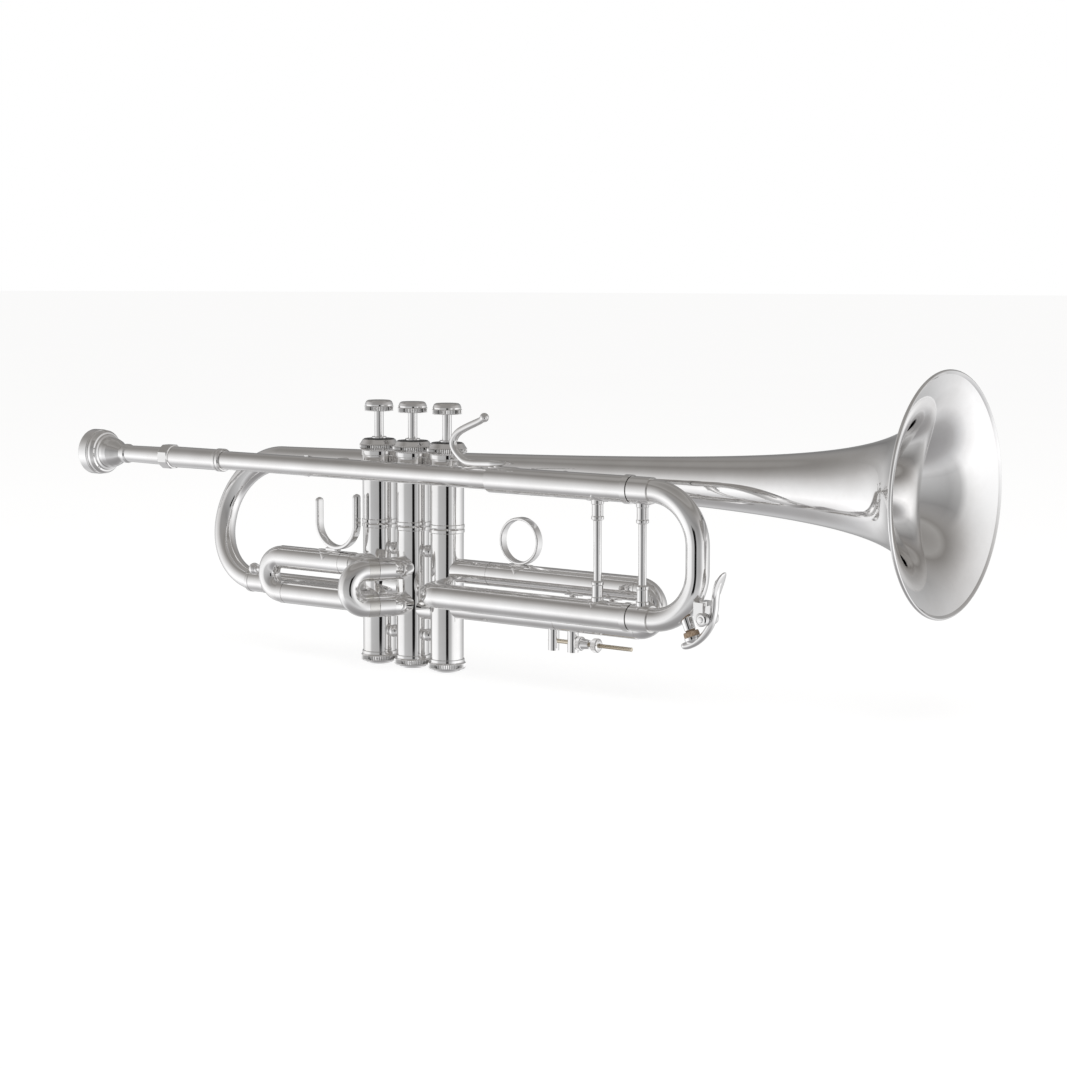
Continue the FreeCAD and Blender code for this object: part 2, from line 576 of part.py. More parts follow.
def water_key():
    """Lever, cork, spring, nipple and pivot bracket at the low point of the crook."""
    x, y, z = S.key_x, S.leg_y - 0.2, S.key_height
    nipple = lathe("nipple_body", [(1.3, 0.0), (2.4, 0.0), (2.9, 0.8), (3.2, 7.5), (1.3, 7.5)],
                   down_the_key(-0.05), along(KEY_RISE))
    solid_crook = main_crook("key_trim", S.crook_radius, None)
    node("water_key_nipple", boolean("Cut", "nipple_seated", nipple, solid_crook))
    bars = []
    for side in (-1, 1):
        bars.append(cylinder(f"key_ear{side}", 2.6, (x, y + side * 3.4, z), (0, side, 0), 2.4))
        bars.append(shape("Box", f"key_arm{side}", (x - 4.5, y + side * 4.6 - 1.2, z - 0.5),
                          Length=5.5, Width=2.4, Height=9.0))
    bars.append(cylinder("key_pin", 0.9, (x, y - 6.2, z), (0, 1, 0), 12.4))
    bars.append(shape("Box", "key_saddle", (x - 4.6, y - 5.8, z + 6.2), Length=4, Width=11.6,
                      Height=2.4))
    node("water_key_bracket", boolean("Cut", "key_bracket",
                                      boolean("Fuse", "key_bracket_joined", *bars), solid_crook))
    lever = pipe("key_lever_rod", [(6.5, 0.0), (14.0, 7.0), (15.5, 15.0), (22.0, 27.0)],
                 [3.0, 5.0, 8.0], 1.25, None, (x - 14.0, y, z - 15.2),
                 plane((1, 0, 0), (0, 0, 1)))
    hub = cylinder("key_hub", 2.2, (x, y - 3.2, z), (0, 1, 0), 6.4)
    cup = cylinder("key_cup", 4.4, down_the_key(2.9), KEY_DROP, 3.6)
    paddle = shape("Ellipsoid", "key_paddle", (x + 9.2, y, z + 17.5), along((0.36, 0, 1)),
                   Radius1=8.0, Radius2=1.4, Radius3=4.0)
    bore = cylinder("key_hub_bore", 0.95, (x, y - 4, z), (0, 1, 0), 8)
    node("water_key_lever", boolean("Cut", "key_lever_bored",
                                    boolean("Fuse", "key_lever", lever, hub, cup, paddle), bore))
    node("water_key_cork", cylinder("key_cork", 4.2, KEY_SEAT, KEY_DROP, 2.9))
    turns = [shape("Torus", f"key_spring_turn{i}", (x, y - offset, z), along((0, 1, 0)),
                   Radius1=2.8, Radius2=0.45) for i, offset in enumerate((2.87, 1.85))]
    node("water_key_spring", shape("Compound", "key_spring", Links=turns))


# ---------------------------------------------------------------- valve slides
SLIDE_BEND = S.slide_gap * 0.49
SLEEVE_BORE = S.slide_inner + S.running_gap
BOW_RADIUS = S.slide_inner + 0.1


def first_slide():
    """Reaches back towards the player.  Its upper tube is a sleeve over a fixed tube, and
    its lower leg runs inside one."""
    x, y, reach = VALVE_X[1], S.first_y, S.elbow_bend - 2
    fixed = []
    for i, (z, outer, far) in enumerate(((HIGH, S.slide_inner, S.first_end + 4),
                                         (LOW, S.slide_outer, S.first_end))):
        length = x - far
        body = pipe(f"first_fixed{i}", [(length, 0.0), (length, -y)], [reach], outer, BORE,
                    (far, y, z), plane((1, 0, 0), (0, 1, 0)))
        fixed.append(body)
    collar = cylinder("first_collar", S.slide_outer, (S.first_joint + 0.3, y, HIGH), FRONT,
                      x - reach - S.first_joint - 0.3)
    core = cylinder("first_core", S.slide_inner - 0.1, (S.first_joint, y, HIGH), FRONT, 20)
    upper = boolean("Fuse", "first_upper", fixed[0],
                    boolean("Cut", "first_collar_cut", collar, core))
    widen = cylinder("first_widen", SLEEVE_BORE, (S.first_end - 1, y, LOW), FRONT,
                     S.first_joint - S.first_end)
    pieces = [boolean("Cut", "first_up", upper, TRIM[1]),
              boolean("Cut", "first_low", fixed[1], widen, TRIM[1])]
    node("first_slide_fixed_tubes", shape("Compound", "first_fixed_set", Links=pieces))
    sleeve = tube("first_sleeve", S.slide_outer, SLEEVE_BORE, (S.first_joint, y, HIGH), BACK,
                  S.first_joint - S.first_bend_x)
    leg = tube("first_leg", S.slide_inner, BORE, (S.first_joint - 6, y, LOW), BACK,
               S.first_joint - 6 - S.first_bend_x)
    ring = tube("first_ring", S.slide_outer, S.slide_inner, (S.first_end - 0.3, y, LOW), BACK,
                S.first_end - 0.3 - S.first_bend_x)
    legs = shape("Compound", "first_leg_set", Links=[
        sleeve, boolean("Fuse", "first_leg_ringed", leg, ring)])
    node("first_slide_legs", legs)
    node("first_slide_bow", crook("first_bow", S.slide_gap, SLIDE_BEND, 0.4,
                                  BOW_RADIUS, BORE, (S.first_bend_x, y, LOW),
                                  plane((-1, 0, 0), (0, 0, 1))))
    tip = S.first_bend_x - SLIDE_BEND - BOW_RADIUS - 0.42
    knob = lathe("first_knob_body", [(0.0, 0.0), (1.7, 0.0), (1.7, 1.4), (1.1, 1.8), (2.2, 2.6),
                                     (2.9, 4.4), (2.9, 5.4), (2.0, 7.0), (0.0, 7.5)],
                 (tip, y, LOW + S.slide_gap / 2), along(BACK))
    node("first_slide_knob", knob)
    thumb_saddle(-43.5, y, HIGH + S.slide_outer)


def thumb_saddle(x, y, z):
    """An open U strap on a diamond foot, for the left thumb."""
    arc_z, mean, half_wall = z + 15.85, 13.9, 1.1
    half = shape("Cylinder", "saddle_out", (x, y - 2.4, arc_z), along((0, 1, 0)),
                 Radius=mean + half_wall, Height=4.8)
    core = shape("Cylinder", "saddle_in", (x, y - 3, arc_z), along((0, 1, 0)),
                 Radius=mean - half_wall, Height=6)
    top = shape("Box", "saddle_open", (x - 20, y - 5, arc_z), Length=40, Width=10, Height=20)
    arms = [shape("Box", f"saddle_arm{side}", (x + side * mean - half_wall, y - 2.4, arc_z),
                  Length=2 * half_wall, Width=4.8, Height=height)
            for side, height in ((-1, 14.0), (1, 17.4))]
    foot = flange("saddle_foot", S.slide_outer, 9.0, (x - 15.5, y, HIGH), FRONT, (0, 0, 1))
    lug = shape("Box", "saddle_lug", (x - 8, y - 2.4, z), Length=8, Width=4.8, Height=2.6)
    strap = boolean("Cut", "saddle_strap", half, core, top)
    joined = boolean("Fuse", "saddle_joined", strap, *arms, foot, lug)
    cuts = [cylinder("saddle_trim", S.slide_outer, (x - 20, y, HIGH), FRONT, 30),
            cylinder("saddle_clear", mean - half_wall, (x, y - 3, arc_z), (0, 1, 0), 6)]
    node("thumb_saddle", boolean("Cut", "saddle_all", joined, *cuts))


SECOND = Vector(-math.sin(math.radians(SIZES["second_turn"])),
                -math.cos(math.radians(SIZES["second_turn"])), 0)


def second_slide():
    """Short slide that points to the right and a little back, on two bent stubs."""
    port, bend = S.casing_outer + 2.2, float(S.second_bend)
    corner = Vector(0, -float(port) - bend * math.tan(math.radians(SIZES["second_turn"]) / 2), 0)
    end = corner + SECOND * 11.5
    stubs, legs, rings = [], [], []
    side = SECOND.cross(Z_AXIS)
    for i, z in enumerate((HIGH, LOW)):
        run = corner - end
        stub = pipe(f"second_stub{i}", [(run.Length, 0.0), flat(end, corner + Y_AXIS * 18)],
                    [bend], S.slide_outer - 0.2, BORE, (end.x, end.y, z),
                    plane(tuple(-SECOND), tuple(side)))
        counter = shape("Cylinder", f"second_counter{i}", (end.x, end.y, z), along(tuple(-SECOND)),
                        Radius=SLEEVE_BORE - 0.2, Height=8.6)
        stubs.append(boolean("Cut", f"second_stub_cut{i}", stub, counter, TRIM[2]))
        outside = end + SECOND * 0.3
        legs.append(tube(f"second_leg{i}", S.slide_inner - 0.2, BORE - 0.1,
                         (*(end - SECOND * 8.0)[:2], z), tuple(SECOND), 14.0))
        rings.append(tube(f"second_ring{i}", S.slide_outer - 0.2, S.slide_inner - 0.2,
                          (outside.x, outside.y, z), tuple(SECOND), 5.7))
    node("second_slide_fixed_tubes", shape("Compound", "second_stub_set", Links=stubs))
    ringed = [boolean("Fuse", f"second_leg_ringed{i}", legs[i], rings[i]) for i in (0, 1)]
    node("second_slide_legs", shape("Compound", "second_leg_set", Links=ringed))
    start = end + SECOND * 6.0
    node("second_slide_bow", crook("second_bow", S.slide_gap, SLIDE_BEND, 0.4,
                                   BOW_RADIUS, BORE, (start.x, start.y, LOW),
                                   plane(tuple(SECOND), (0, 0, 1))))


def flat(origin, point):
    """A point's coordinates in the second slide's stub frame."""
    offset = point - origin
    return offset.dot(-SECOND), offset.dot(SECOND.cross(Z_AXIS))


def third_slide():
    """Reaches forward.  Its upper tube carries the finger ring; below, a threaded rod
    with two knurled nuts stops it."""
    x, y = VALVE_X[3], 0.0
    inner = tube("third_inner", S.slide_inner, BORE, (x, y, HIGH), FRONT, S.third_end - 6 - x)
    collar = tube("third_collar", S.slide_outer, S.slide_inner - 0.1, (x, y, HIGH), FRONT,
                  S.third_joint - 0.3 - x)
    low = tube("third_low", S.slide_outer, SLEEVE_BORE, (x, y, LOW), FRONT,
               S.third_low_joint - 0.3 - x)
    upper = boolean("Cut", "third_up_cut", boolean("Fuse", "third_up", inner, collar), TRIM[3])
    lower = boolean("Cut", "third_low_cut", low, TRIM[3])
    node("third_slide_fixed_tubes", shape("Compound", "third_fixed_set", Links=[upper, lower]))
    sleeve = tube("third_sleeve", S.slide_outer, SLEEVE_BORE, (S.third_joint, y, HIGH), FRONT,
                  S.third_bend_x - S.third_joint)
    leg = tube("third_leg", S.slide_inner, BORE, (42.0, y, LOW), FRONT, S.third_bend_x - 42)
    cover = tube("third_cover", S.slide_outer, S.slide_inner - 0.1, (S.third_low_joint, y, LOW),
                 FRONT, S.third_bend_x - S.third_low_joint)
    node("third_slide_legs", shape("Compound", "third_leg_set", Links=[
        sleeve, boolean("Fuse", "third_leg_covered", leg, cover)]))
    node("third_slide_bow", crook("third_bow", S.slide_gap, SLIDE_BEND, 0.4,
                                  BOW_RADIUS, BORE, (S.third_bend_x, y, LOW),
                                  plane((1, 0, 0), (0, 0, 1))))
    finger_ring()
    stop_gear()


def finger_ring():
    z = HIGH + S.slide_outer + S.ring_radius + 0.1
    band = tube("ring_band", S.ring_radius, S.ring_radius - 1.4,
                (S.ring_x, -S.ring_width / 2, z), (0, 1, 0), S.ring_width)
    foot = flange("ring_foot", S.slide_outer, 8.6, (S.ring_x - 8.6, 0, HIGH), FRONT, (0, 0, 1))
    lug = shape("Box", "ring_lug", (S.ring_x - 4, -S.ring_width / 2, z - S.ring_radius - 0.3),
                Length=8, Width=S.ring_width, Height=1.4)
    cuts = [cylinder("ring_trim", S.slide_outer, (S.ring_x - 15, 0, HIGH), FRONT, 30),
            cylinder("ring_clear", S.ring_radius - 1.4, (S.ring_x, -5, z), (0, 1, 0), 10)]
    node("finger_ring", boolean("Cut", "ring_all",
                                boolean("Fuse", "ring_joined", band, foot, lug), *cuts))


def stop_gear():
    """Fixed post and threaded rod, the sliding post that rides on the rod, and two nuts."""
    z, radius = S.rod_height, S.rod_radius
    for label, x, hole in (("stop_rod_post", S.post_x, radius),
                           ("stop_rod_rider", S.rider_x, radius + 0.1)):
        drop = LOW - z
        shank = cylinder(label + "_shank", 3.0, (x, 0, LOW), (0, 0, -1), drop + 5.2)
        foot = flange(label + "_foot", S.slide_outer, 3.3, (x - 3.3, 0, LOW), FRONT, (0, 0, -1))
        cuts = [cylinder(label + "_trim", S.slide_outer, (x - 15, 0, LOW), FRONT, 30),
                cylinder(label + "_hole", hole, (x - 15, 0, z), FRONT, 30)]
        node(label, boolean("Cut", label + "_all",
                            boolean("Fuse", label + "_joined", shank, foot), *cuts))
    node("stop_rod", cylinder("stop_rod_body", radius, (S.post_x - 3, 0, z), FRONT,
                              148.3 - float(S.post_x) + 3))
    nuts = []
    for i, (x, length, flare) in enumerate(((113.6, 3.0, 4.6), (123.6, 3.6, 0.4))):
        nuts.append(lathe(f"nut{i}", [
            (radius + 0.1, 0.0), (3.3, 0.0), (3.8, 0.4), (3.8, length - 0.4), (3.3, length),
            (2.4, length + flare), (radius + 0.1, length + flare)], (x, 0, z), along(FRONT)))
    node("stop_nuts", shape("Compound", "nut_set", Links=nuts))
    struts = []
    for i, x in enumerate((110.5, 136.0)):
        strut = cylinder(f"strut{i}", 2.2, (x, 0, LOW), (0, 0, 1), S.slide_gap)
        foot = flange(f"strut_foot{i}", S.slide_outer, 6.0, (x - 6, 0, HIGH), FRONT, (0, 0, -1))
        trims = [cylinder(f"strut_trim{i}{int(height)}", S.slide_outer, (x - 9, 0, height),
                          FRONT, 18) for height in (LOW, HIGH)]
        struts.append(boolean("Cut", f"strut_cut{i}",
                              boolean("Fuse", f"strut_all{i}", strut, foot), *trims))
    node("third_slide_struts", shape("Compound", "strut_set", Links=struts))


# ---------------------------------------------------------------- bell
BELL_TURN = Rotation(Y_AXIS, -SIZES["bell_tilt"])
BELL_LENGTH = float(S.rim_end)


def flare_radius(x):
    """Outer radius of the bell, a Bessel horn measured from its mouth."""
    gap = float(S.flare_length)
    return float(S.bell_mouth) * (gap / (BELL_LENGTH - x + gap)) ** float(S.flare_power)


def bell_section(label, start, end, steps):
    """A stretch of the bell between two stations, spun from the flare's own curve."""
    stations = [start + (end - start) * (1 - (1 - i / steps) ** 2) for i in range(steps + 1)]
    wall = float(S.bell_wall)
    outside = [Vector(x, 0, flare_radius(x)) for x in stations]
    inside = [Vector(x, 0, flare_radius(x) - wall) for x in stations]
    curves = []
    for points in (outside, inside):
        curve = Part.BSplineCurve()
        curve.interpolate(points)
        curves.append(curve.toShape())
    wire = Part.Wire([curves[0], Part.makeLine(outside[-1], inside[-1]), curves[1],
                      Part.makeLine(inside[0], outside[0])])
    feature = doc.addObject("Part::Feature", label)
    feature.Shape = Part.Face(wire).revolve(Vector(0, 0, 0), X_AXIS, 360)
    return node(label, put(feature, (0, S.bell_y, S.bell_height), BELL_TURN))


def bell():
    """Bell in two stretches, its wired rim, the canted bow and the tail into valve 1."""
    bell_section("bell_flare", float(S.flare_start), BELL_LENGTH - 0.6, 24)
    bell_section("bell_stem", float(S.bow_x), float(S.flare_start), 12)
    wire = shape("Torus", "rim_wire", Radius1=S.bell_mouth - 0.75, Radius2=1.0)
    tilt = math.radians(SIZES["bell_tilt"])
    mouth = BELL_LENGTH - 0.2
    put(wire, (mouth * math.cos(tilt), S.bell_y, S.bell_height + mouth * math.sin(tilt)),
        BELL_TURN.multiply(along(FRONT)))
    trim = shape("Cylinder", "rim_trim", (0, S.bell_y, S.bell_height),
                 BELL_TURN.multiply(along(FRONT)), Radius=S.bell_mouth + 3, Height=BELL_LENGTH - 0.6)
    node("bell_rim_wire", boolean("Cut", "rim_cut", wire, trim))
    high = Vector(float(S.bow_x), float(S.bell_y),
                  float(S.bell_height) + float(S.bow_x) * math.sin(tilt))
    low = Vector(float(S.bow_x), 0.5, float(S.tail_height))
    across = low - high
    spacing = across.Length
    across.normalize()
    bow = crook("bow_body", spacing, spacing * 0.49, 0.5, S.bow_radius, BORE, tuple(high),
                plane((-1, 0, 0), tuple(across)))
    node("bell_bow", bow)
    tail = tube("tail_body", S.tail_radius, BORE, (low.x, 0.5, S.tail_height), FRONT, -low.x - 20)
    cut_tail = boolean("Cut", "tail_cut", tail, TRIM[1])
    node("bell_tail", cut_tail)


def bell_braces():
    """Two rods that hold the bell and the leadpipe apart."""
    pieces = []
    for i, x in enumerate((-62.0, 96.0)):
        bell_z = float(S.bell_height) + x * math.sin(math.radians(SIZES["bell_tilt"]))
        lead = S.lead_radius + 0.1 if x < 0 else S.tube_radius
        bell_r = flare_radius(x)
        start = Vector(x, float(S.lead_y), float(S.lead_height))
        aim = Vector(x, float(S.bell_y), bell_z) - start
        rod = cylinder(f"stay{i}", 2.05, tuple(start), tuple(aim), aim.Length)
        low = cylinder(f"stay_low{i}", 3.2, tuple(start), tuple(aim), float(lead) + 6)
        high = cylinder(f"stay_high{i}", 3.2, tuple(start + aim), tuple(-aim), bell_r + 6)
        feet = [flange(f"stay_foot{i}", lead, 7.3, (x - 7.3, S.lead_y, S.lead_height), FRONT,
                       (0, 1, 0))]
        trims = [cylinder(f"stay_trim_lead{i}", lead, (x - 15, S.lead_y, S.lead_height), FRONT, 30),
                 cylinder(f"stay_trim_bell{i}", bell_r + 0.25, (x - 15, S.bell_y, bell_z), FRONT, 30)]
        pieces.append(boolean("Cut", f"stay_cut{i}",
                              boolean("Fuse", f"stay_all{i}", rod, low, high, *feet), *trims))
    node("bell_braces", shape("Compound", "stay_set", Links=pieces))


mouthpiece()
receiver()
leadpipe()
main_outer_tubes()
upright_brace("outer_tube_brace", S.main_brace_x, 7.3)
tuning_slide()
finger_hook()
water_key()
first_slide()
second_slide()
third_slide()
bell()
bell_braces()

doc.recompute()
faults = [o.Label for o in doc.Objects if "Invalid" in o.State or "Error" in o.State]
faults += [o.Label for o in NODES if o.Shape.isNull() or not o.Shape.isValid()]
if faults:
    raise RuntimeError("these objects failed: " + ", ".join(faults))
os.makedirs("parts", exist_ok=True)
for item in NODES:
    item.Shape.exportStep(f"parts/{item.Label}.step")
    print(f"{item.Label:26s} {item.Shape.Volume:10.1f} mm3  {len(item.Shape.Solids)} solids")
print(len(NODES), "sub-parts")
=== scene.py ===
import json
import math

import bmesh
import bpy
from mathutils import Matrix, Vector


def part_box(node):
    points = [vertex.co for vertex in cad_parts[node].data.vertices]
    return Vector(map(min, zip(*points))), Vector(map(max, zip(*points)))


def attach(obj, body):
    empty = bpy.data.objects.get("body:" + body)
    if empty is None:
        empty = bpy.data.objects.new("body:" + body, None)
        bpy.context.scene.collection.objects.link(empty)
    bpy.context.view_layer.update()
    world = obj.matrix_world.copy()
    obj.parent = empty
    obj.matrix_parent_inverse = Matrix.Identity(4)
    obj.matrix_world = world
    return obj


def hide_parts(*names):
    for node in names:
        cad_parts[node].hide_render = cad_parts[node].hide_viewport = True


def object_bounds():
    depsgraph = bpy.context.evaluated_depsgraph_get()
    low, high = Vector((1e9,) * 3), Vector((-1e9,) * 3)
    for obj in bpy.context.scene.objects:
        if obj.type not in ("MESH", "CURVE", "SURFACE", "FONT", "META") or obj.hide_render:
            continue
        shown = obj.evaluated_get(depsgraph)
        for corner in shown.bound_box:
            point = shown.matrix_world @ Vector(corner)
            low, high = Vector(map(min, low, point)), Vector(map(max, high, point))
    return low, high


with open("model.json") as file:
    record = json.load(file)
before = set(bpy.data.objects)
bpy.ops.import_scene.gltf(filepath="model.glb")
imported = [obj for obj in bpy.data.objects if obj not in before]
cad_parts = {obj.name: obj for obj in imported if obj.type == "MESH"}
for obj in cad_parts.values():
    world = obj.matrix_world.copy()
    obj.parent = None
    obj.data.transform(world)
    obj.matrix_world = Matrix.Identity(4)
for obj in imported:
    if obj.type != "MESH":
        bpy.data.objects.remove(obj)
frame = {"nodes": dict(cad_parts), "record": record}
CAD_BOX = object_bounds()

# Shapes are worked out in millimetres, in the CAD's own frame: +X out of the bell, +Z up
# the valves, -Y to the player's right.
MM = 0.001
UP, DOWN, FRONT, BACK, ACROSS = (0, 0, 1), (0, 0, -1), (1, 0, 0), (-1, 0, 0), (0, 1, 0)
LEADPIPE, SLIDE_TUBE, OUTER_TUBE = 5.75, 6.65, 7.0  # the radii that feet lie on
MATERIALS = {}


def low(node):
    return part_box(node)[0] / MM


def high(node):
    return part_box(node)[1] / MM


def middle(node):
    return (low(node) + high(node)) / 2


# ---------------------------------------------------------------- materials
def graph(name):
    """A new node material, with helpers to add and join nodes."""
    material = bpy.data.materials.new(name)
    material.use_nodes = True
    tree = material.node_tree

    def add(kind, **values):
        made = tree.nodes.new("ShaderNode" + kind)
        for key, value in values.items():
            if key in made.inputs.keys():
                made.inputs[key].default_value = value
            else:
                setattr(made, key, value)
        return made

    return material, tree.nodes["Principled BSDF"], add, tree.links.new


def ramp_of(add, stops):
    ramp = add("ValToRGB")
    elements = ramp.color_ramp.elements
    while len(elements) < len(stops):
        elements.new(0.5)
    for element, (place, colour) in zip(elements, stops):
        element.position = place
        element.color = (*colour, 1)
    return ramp


def map_range(add, start, end, out_start=0, out_end=1):
    made = add("MapRange")
    for key, value in (("From Min", start), ("From Max", end),
                       ("To Min", out_start), ("To Max", out_end)):
        made.inputs[key].default_value = value
    return made


def tint(add, join, shader, factor, stops):
    """Colour from a texture's output."""
    ramp = ramp_of(add, stops)
    join(factor, ramp.inputs["Fac"])
    join(ramp.outputs["Color"], shader.inputs["Base Color"])


def roughen(add, join, shader, height, strength, distance):
    """Bump from a texture's output."""
    bump = add("Bump", Strength=strength, Distance=distance)
    join(height, bump.inputs["Height"])
    join(bump.outputs["Normal"], shader.inputs["Normal"])


def metal(name, bright, dull, smooth, rough, line_scale=(40, 900, 900), line_depth=0.05):
    """Polished metal: faint clouds of duller tone, uneven polish and fine buffing lines."""
    material, shader, add, join = graph(name)
    shader.inputs["Metallic"].default_value = 1
    where = add("TexCoord").outputs["Object"]
    cloud = add("TexNoise", Scale=42.0, Detail=4.0, Roughness=0.6)
    join(where, cloud.inputs["Vector"])
    tint(add, join, shader, cloud.outputs["Fac"], [(0.32, dull), (0.62, bright)])
    polish = add("TexNoise", Scale=130.0, Detail=6.0, Roughness=0.65)
    join(where, polish.inputs["Vector"])
    spread = map_range(add, 0.3, 0.75, smooth, rough)
    join(polish.outputs["Fac"], spread.inputs["Value"])
    join(spread.outputs["Result"], shader.inputs["Roughness"])
    stretch = add("Mapping")
    stretch.inputs["Scale"].default_value = line_scale
    join(where, stretch.inputs["Vector"])
    lines = add("TexNoise", Scale=1.0, Detail=3.0, Roughness=0.7)
    join(stretch.outputs["Vector"], lines.inputs["Vector"])
    roughen(add, join, shader, lines.outputs["Fac"], line_depth, 0.00004)
    MATERIALS[name] = material


def felt():
    material, shader, add, join = graph("felt")
    where = add("TexCoord").outputs["Object"]
    fibre = add("TexNoise", Scale=2600.0, Detail=6.0, Roughness=0.8)
    join(where, fibre.inputs["Vector"])
    tint(add, join, shader, fibre.outputs["Fac"],
         [(0.35, (0.006, 0.006, 0.007)), (0.7, (0.035, 0.034, 0.036))])
    shader.inputs["Roughness"].default_value = 0.95
    shader.inputs["Sheen Weight"].default_value = 0.35
    roughen(add, join, shader, fibre.outputs["Fac"], 0.9, 0.0003)
    MATERIALS["felt"] = material


def cork():
    material, shader, add, join = graph("cork")
    where = add("TexCoord").outputs["Object"]
    grains = add("TexVoronoi", Scale=1100.0, Randomness=1.0)
    join(where, grains.inputs["Vector"])
    fleck = add("TexNoise", Scale=700.0, Detail=5.0, Roughness=0.7)
    join(where, fleck.inputs["Vector"])
    mix = add("Mix", data_type="FLOAT")
    mix.inputs[0].default_value = 0.45
    join(fleck.outputs["Fac"], mix.inputs[2])
    join(grains.outputs["Distance"], mix.inputs[3])
    tint(add, join, shader, mix.outputs[0],
         [(0.0, (0.12, 0.075, 0.045)), (0.45, (0.36, 0.26, 0.18)), (0.8, (0.52, 0.41, 0.31))])
    shader.inputs["Roughness"].default_value = 0.85
    roughen(add, join, shader, grains.outputs["Distance"], 0.6, 0.0002)
    MATERIALS["cork"] = material


metal("silver_plate", (0.93, 0.925, 0.92), (0.87, 0.86, 0.85), 0.03, 0.075)
# A dark metal that only paints shade into the bottoms of the knurls' grooves.
metal("groove_shade", (0.30, 0.29, 0.275), (0.16, 0.155, 0.15), 0.3, 0.5)
metal("nickel_silver", (0.84, 0.83, 0.80), (0.74, 0.725, 0.69), 0.1, 0.2)
metal("monel", (0.70, 0.68, 0.64), (0.60, 0.58, 0.54), 0.16, 0.3, (900, 900, 40), 0.12)
metal("spring_steel", (0.62, 0.62, 0.63), (0.48, 0.48, 0.50), 0.16, 0.3)
metal("brass_guide", (0.83, 0.66, 0.33), (0.66, 0.49, 0.22), 0.18, 0.32)
metal("thread_metal", (0.80, 0.73, 0.60), (0.62, 0.53, 0.40), 0.2, 0.34)
metal("silver_satin", (0.72, 0.715, 0.71), (0.62, 0.615, 0.61), 0.3, 0.42,
      (1500, 1500, 200), 0.25)
felt()
cork()


# ---------------------------------------------------------------- mesh building
def rounded(points, steps=5):
    """A closed outline, with an arc at every corner that names a radius."""
    out = []
    for i, (x, y, *radius) in enumerate(points):
        here = Vector((x, y))
        if not radius:
            out.append(here)
            continue
        before = Vector(points[i - 1][:2]) - here
        after = Vector(points[(i + 1) % len(points)][:2]) - here
        half = before.angle(after) / 2
        reach = min(radius[0] / math.tan(half), before.length * 0.48, after.length * 0.48)
        size = reach * math.tan(half)
        before.normalize()
        after.normalize()
        centre = here + (before + after).normalized() * (size / math.sin(half))
        first, last = here + before * reach - centre, here + after * reach - centre
        for k in range(steps + 1):
            out.append(centre + first.lerp(last, k / steps).normalized() * size)
    return out


def refined(outline, step):
    """The same closed outline with no stretch longer than the step."""
    out = []
    for i, here in enumerate(outline):
        after = outline[(i + 1) % len(outline)]
        parts = max(1, math.ceil((after - here).length / step))
        out += [here.lerp(after, k / parts) for k in range(parts)]
    return out


def spin(outline, origin, axis=UP, segments=96, warp=None):
    """The closed outline of (radius, height) turned round an axis."""
    turn = Vector(axis).to_track_quat("Z", "Y").to_matrix()
    origin, verts, rings = Vector(origin), [], []
    for radius, height in outline:
        count = segments if radius > 1e-6 else 1
        rings.append([len(verts) + k % count for k in range(segments)])
        for k in range(count):
            angle = 2 * math.pi * k / segments
            reach = warp(radius, height, angle) if warp else radius
            spoke = Vector((reach * math.cos(angle), reach * math.sin(angle), height))
            verts.append(origin + turn @ spoke)
    faces = []
    for i, ring in enumerate(rings):
        after = rings[(i + 1) % len(rings)]
        for k in range(segments):
            n = (k + 1) % segments
            face = list(dict.fromkeys((ring[k], ring[n], after[n], after[k])))
            if len(face) > 2:
                faces.append(face)
    return verts, faces


def knurl(count, depth, start, end, least):
    """Fine ridges between two heights, on the outermost part of a turned shape."""
    def warp(radius, height, angle):
        if radius < least or not start < height < end:
            return radius
        fade = min(1, (height - start) / 0.35, (end - height) / 0.35)
        ridge = abs(angle * count / math.pi % 2 - 1)
        return radius - depth * fade * ridge
    return warp


def thread(pitch, depth, start, end, least):
    """A screw thread between two heights."""
    def warp(radius, height, angle):
        if radius < least or not start < height < end:
            return radius
        phase = (height / pitch - angle / (2 * math.pi)) % 1
        return radius - depth * abs(2 * phase - 1)
    return warp


def circle(radius, count=48):
    return [(radius * math.cos(2 * math.pi * k / count), radius * math.sin(2 * math.pi * k / count))
            for k in range(count)]


def soft_bar(thick, wide, count=32):
    """A strap's section, flat with well rounded edges."""
    points = []
    for k in range(count):
        c, s = math.cos(2 * math.pi * k / count), math.sin(2 * math.pi * k / count)
        points.append((thick / 2 * math.copysign(abs(c) ** 0.55, c),
                       wide / 2 * math.copysign(abs(s) ** 0.4, s)))
    return points


def route(corners, radii, step=4):
    """Straight runs between the corners, with a tangent arc at each."""
    corners = [Vector(c) for c in corners]
    path = [corners[0]]
    for i, radius in enumerate(radii, 1):
        here = corners[i]
        before, after = (corners[i - 1] - here).normalized(), (corners[i + 1] - here).normalized()
        half = before.angle(after) / 2
        centre = here + (before + after).normalized() * (radius / math.sin(half))
        spoke = here + before * (radius / math.tan(half)) - centre
        turn, axis = math.pi - 2 * half, -before.cross(after)
        parts = max(4, round(math.degrees(turn) / step))
        path += [centre + Matrix.Rotation(turn * k / parts, 3, axis) @ spoke
                 for k in range(parts + 1)]
    return path + [corners[-1]]


def fine(path, step):
    """The same path with no stretch longer than the step."""
    out = [path[0]]
    for before, after in zip(path, path[1:]):
        parts = max(1, math.ceil((after - before).length / step))
        out += [before.lerp(after, k / parts) for k in range(1, parts + 1)]
    return out


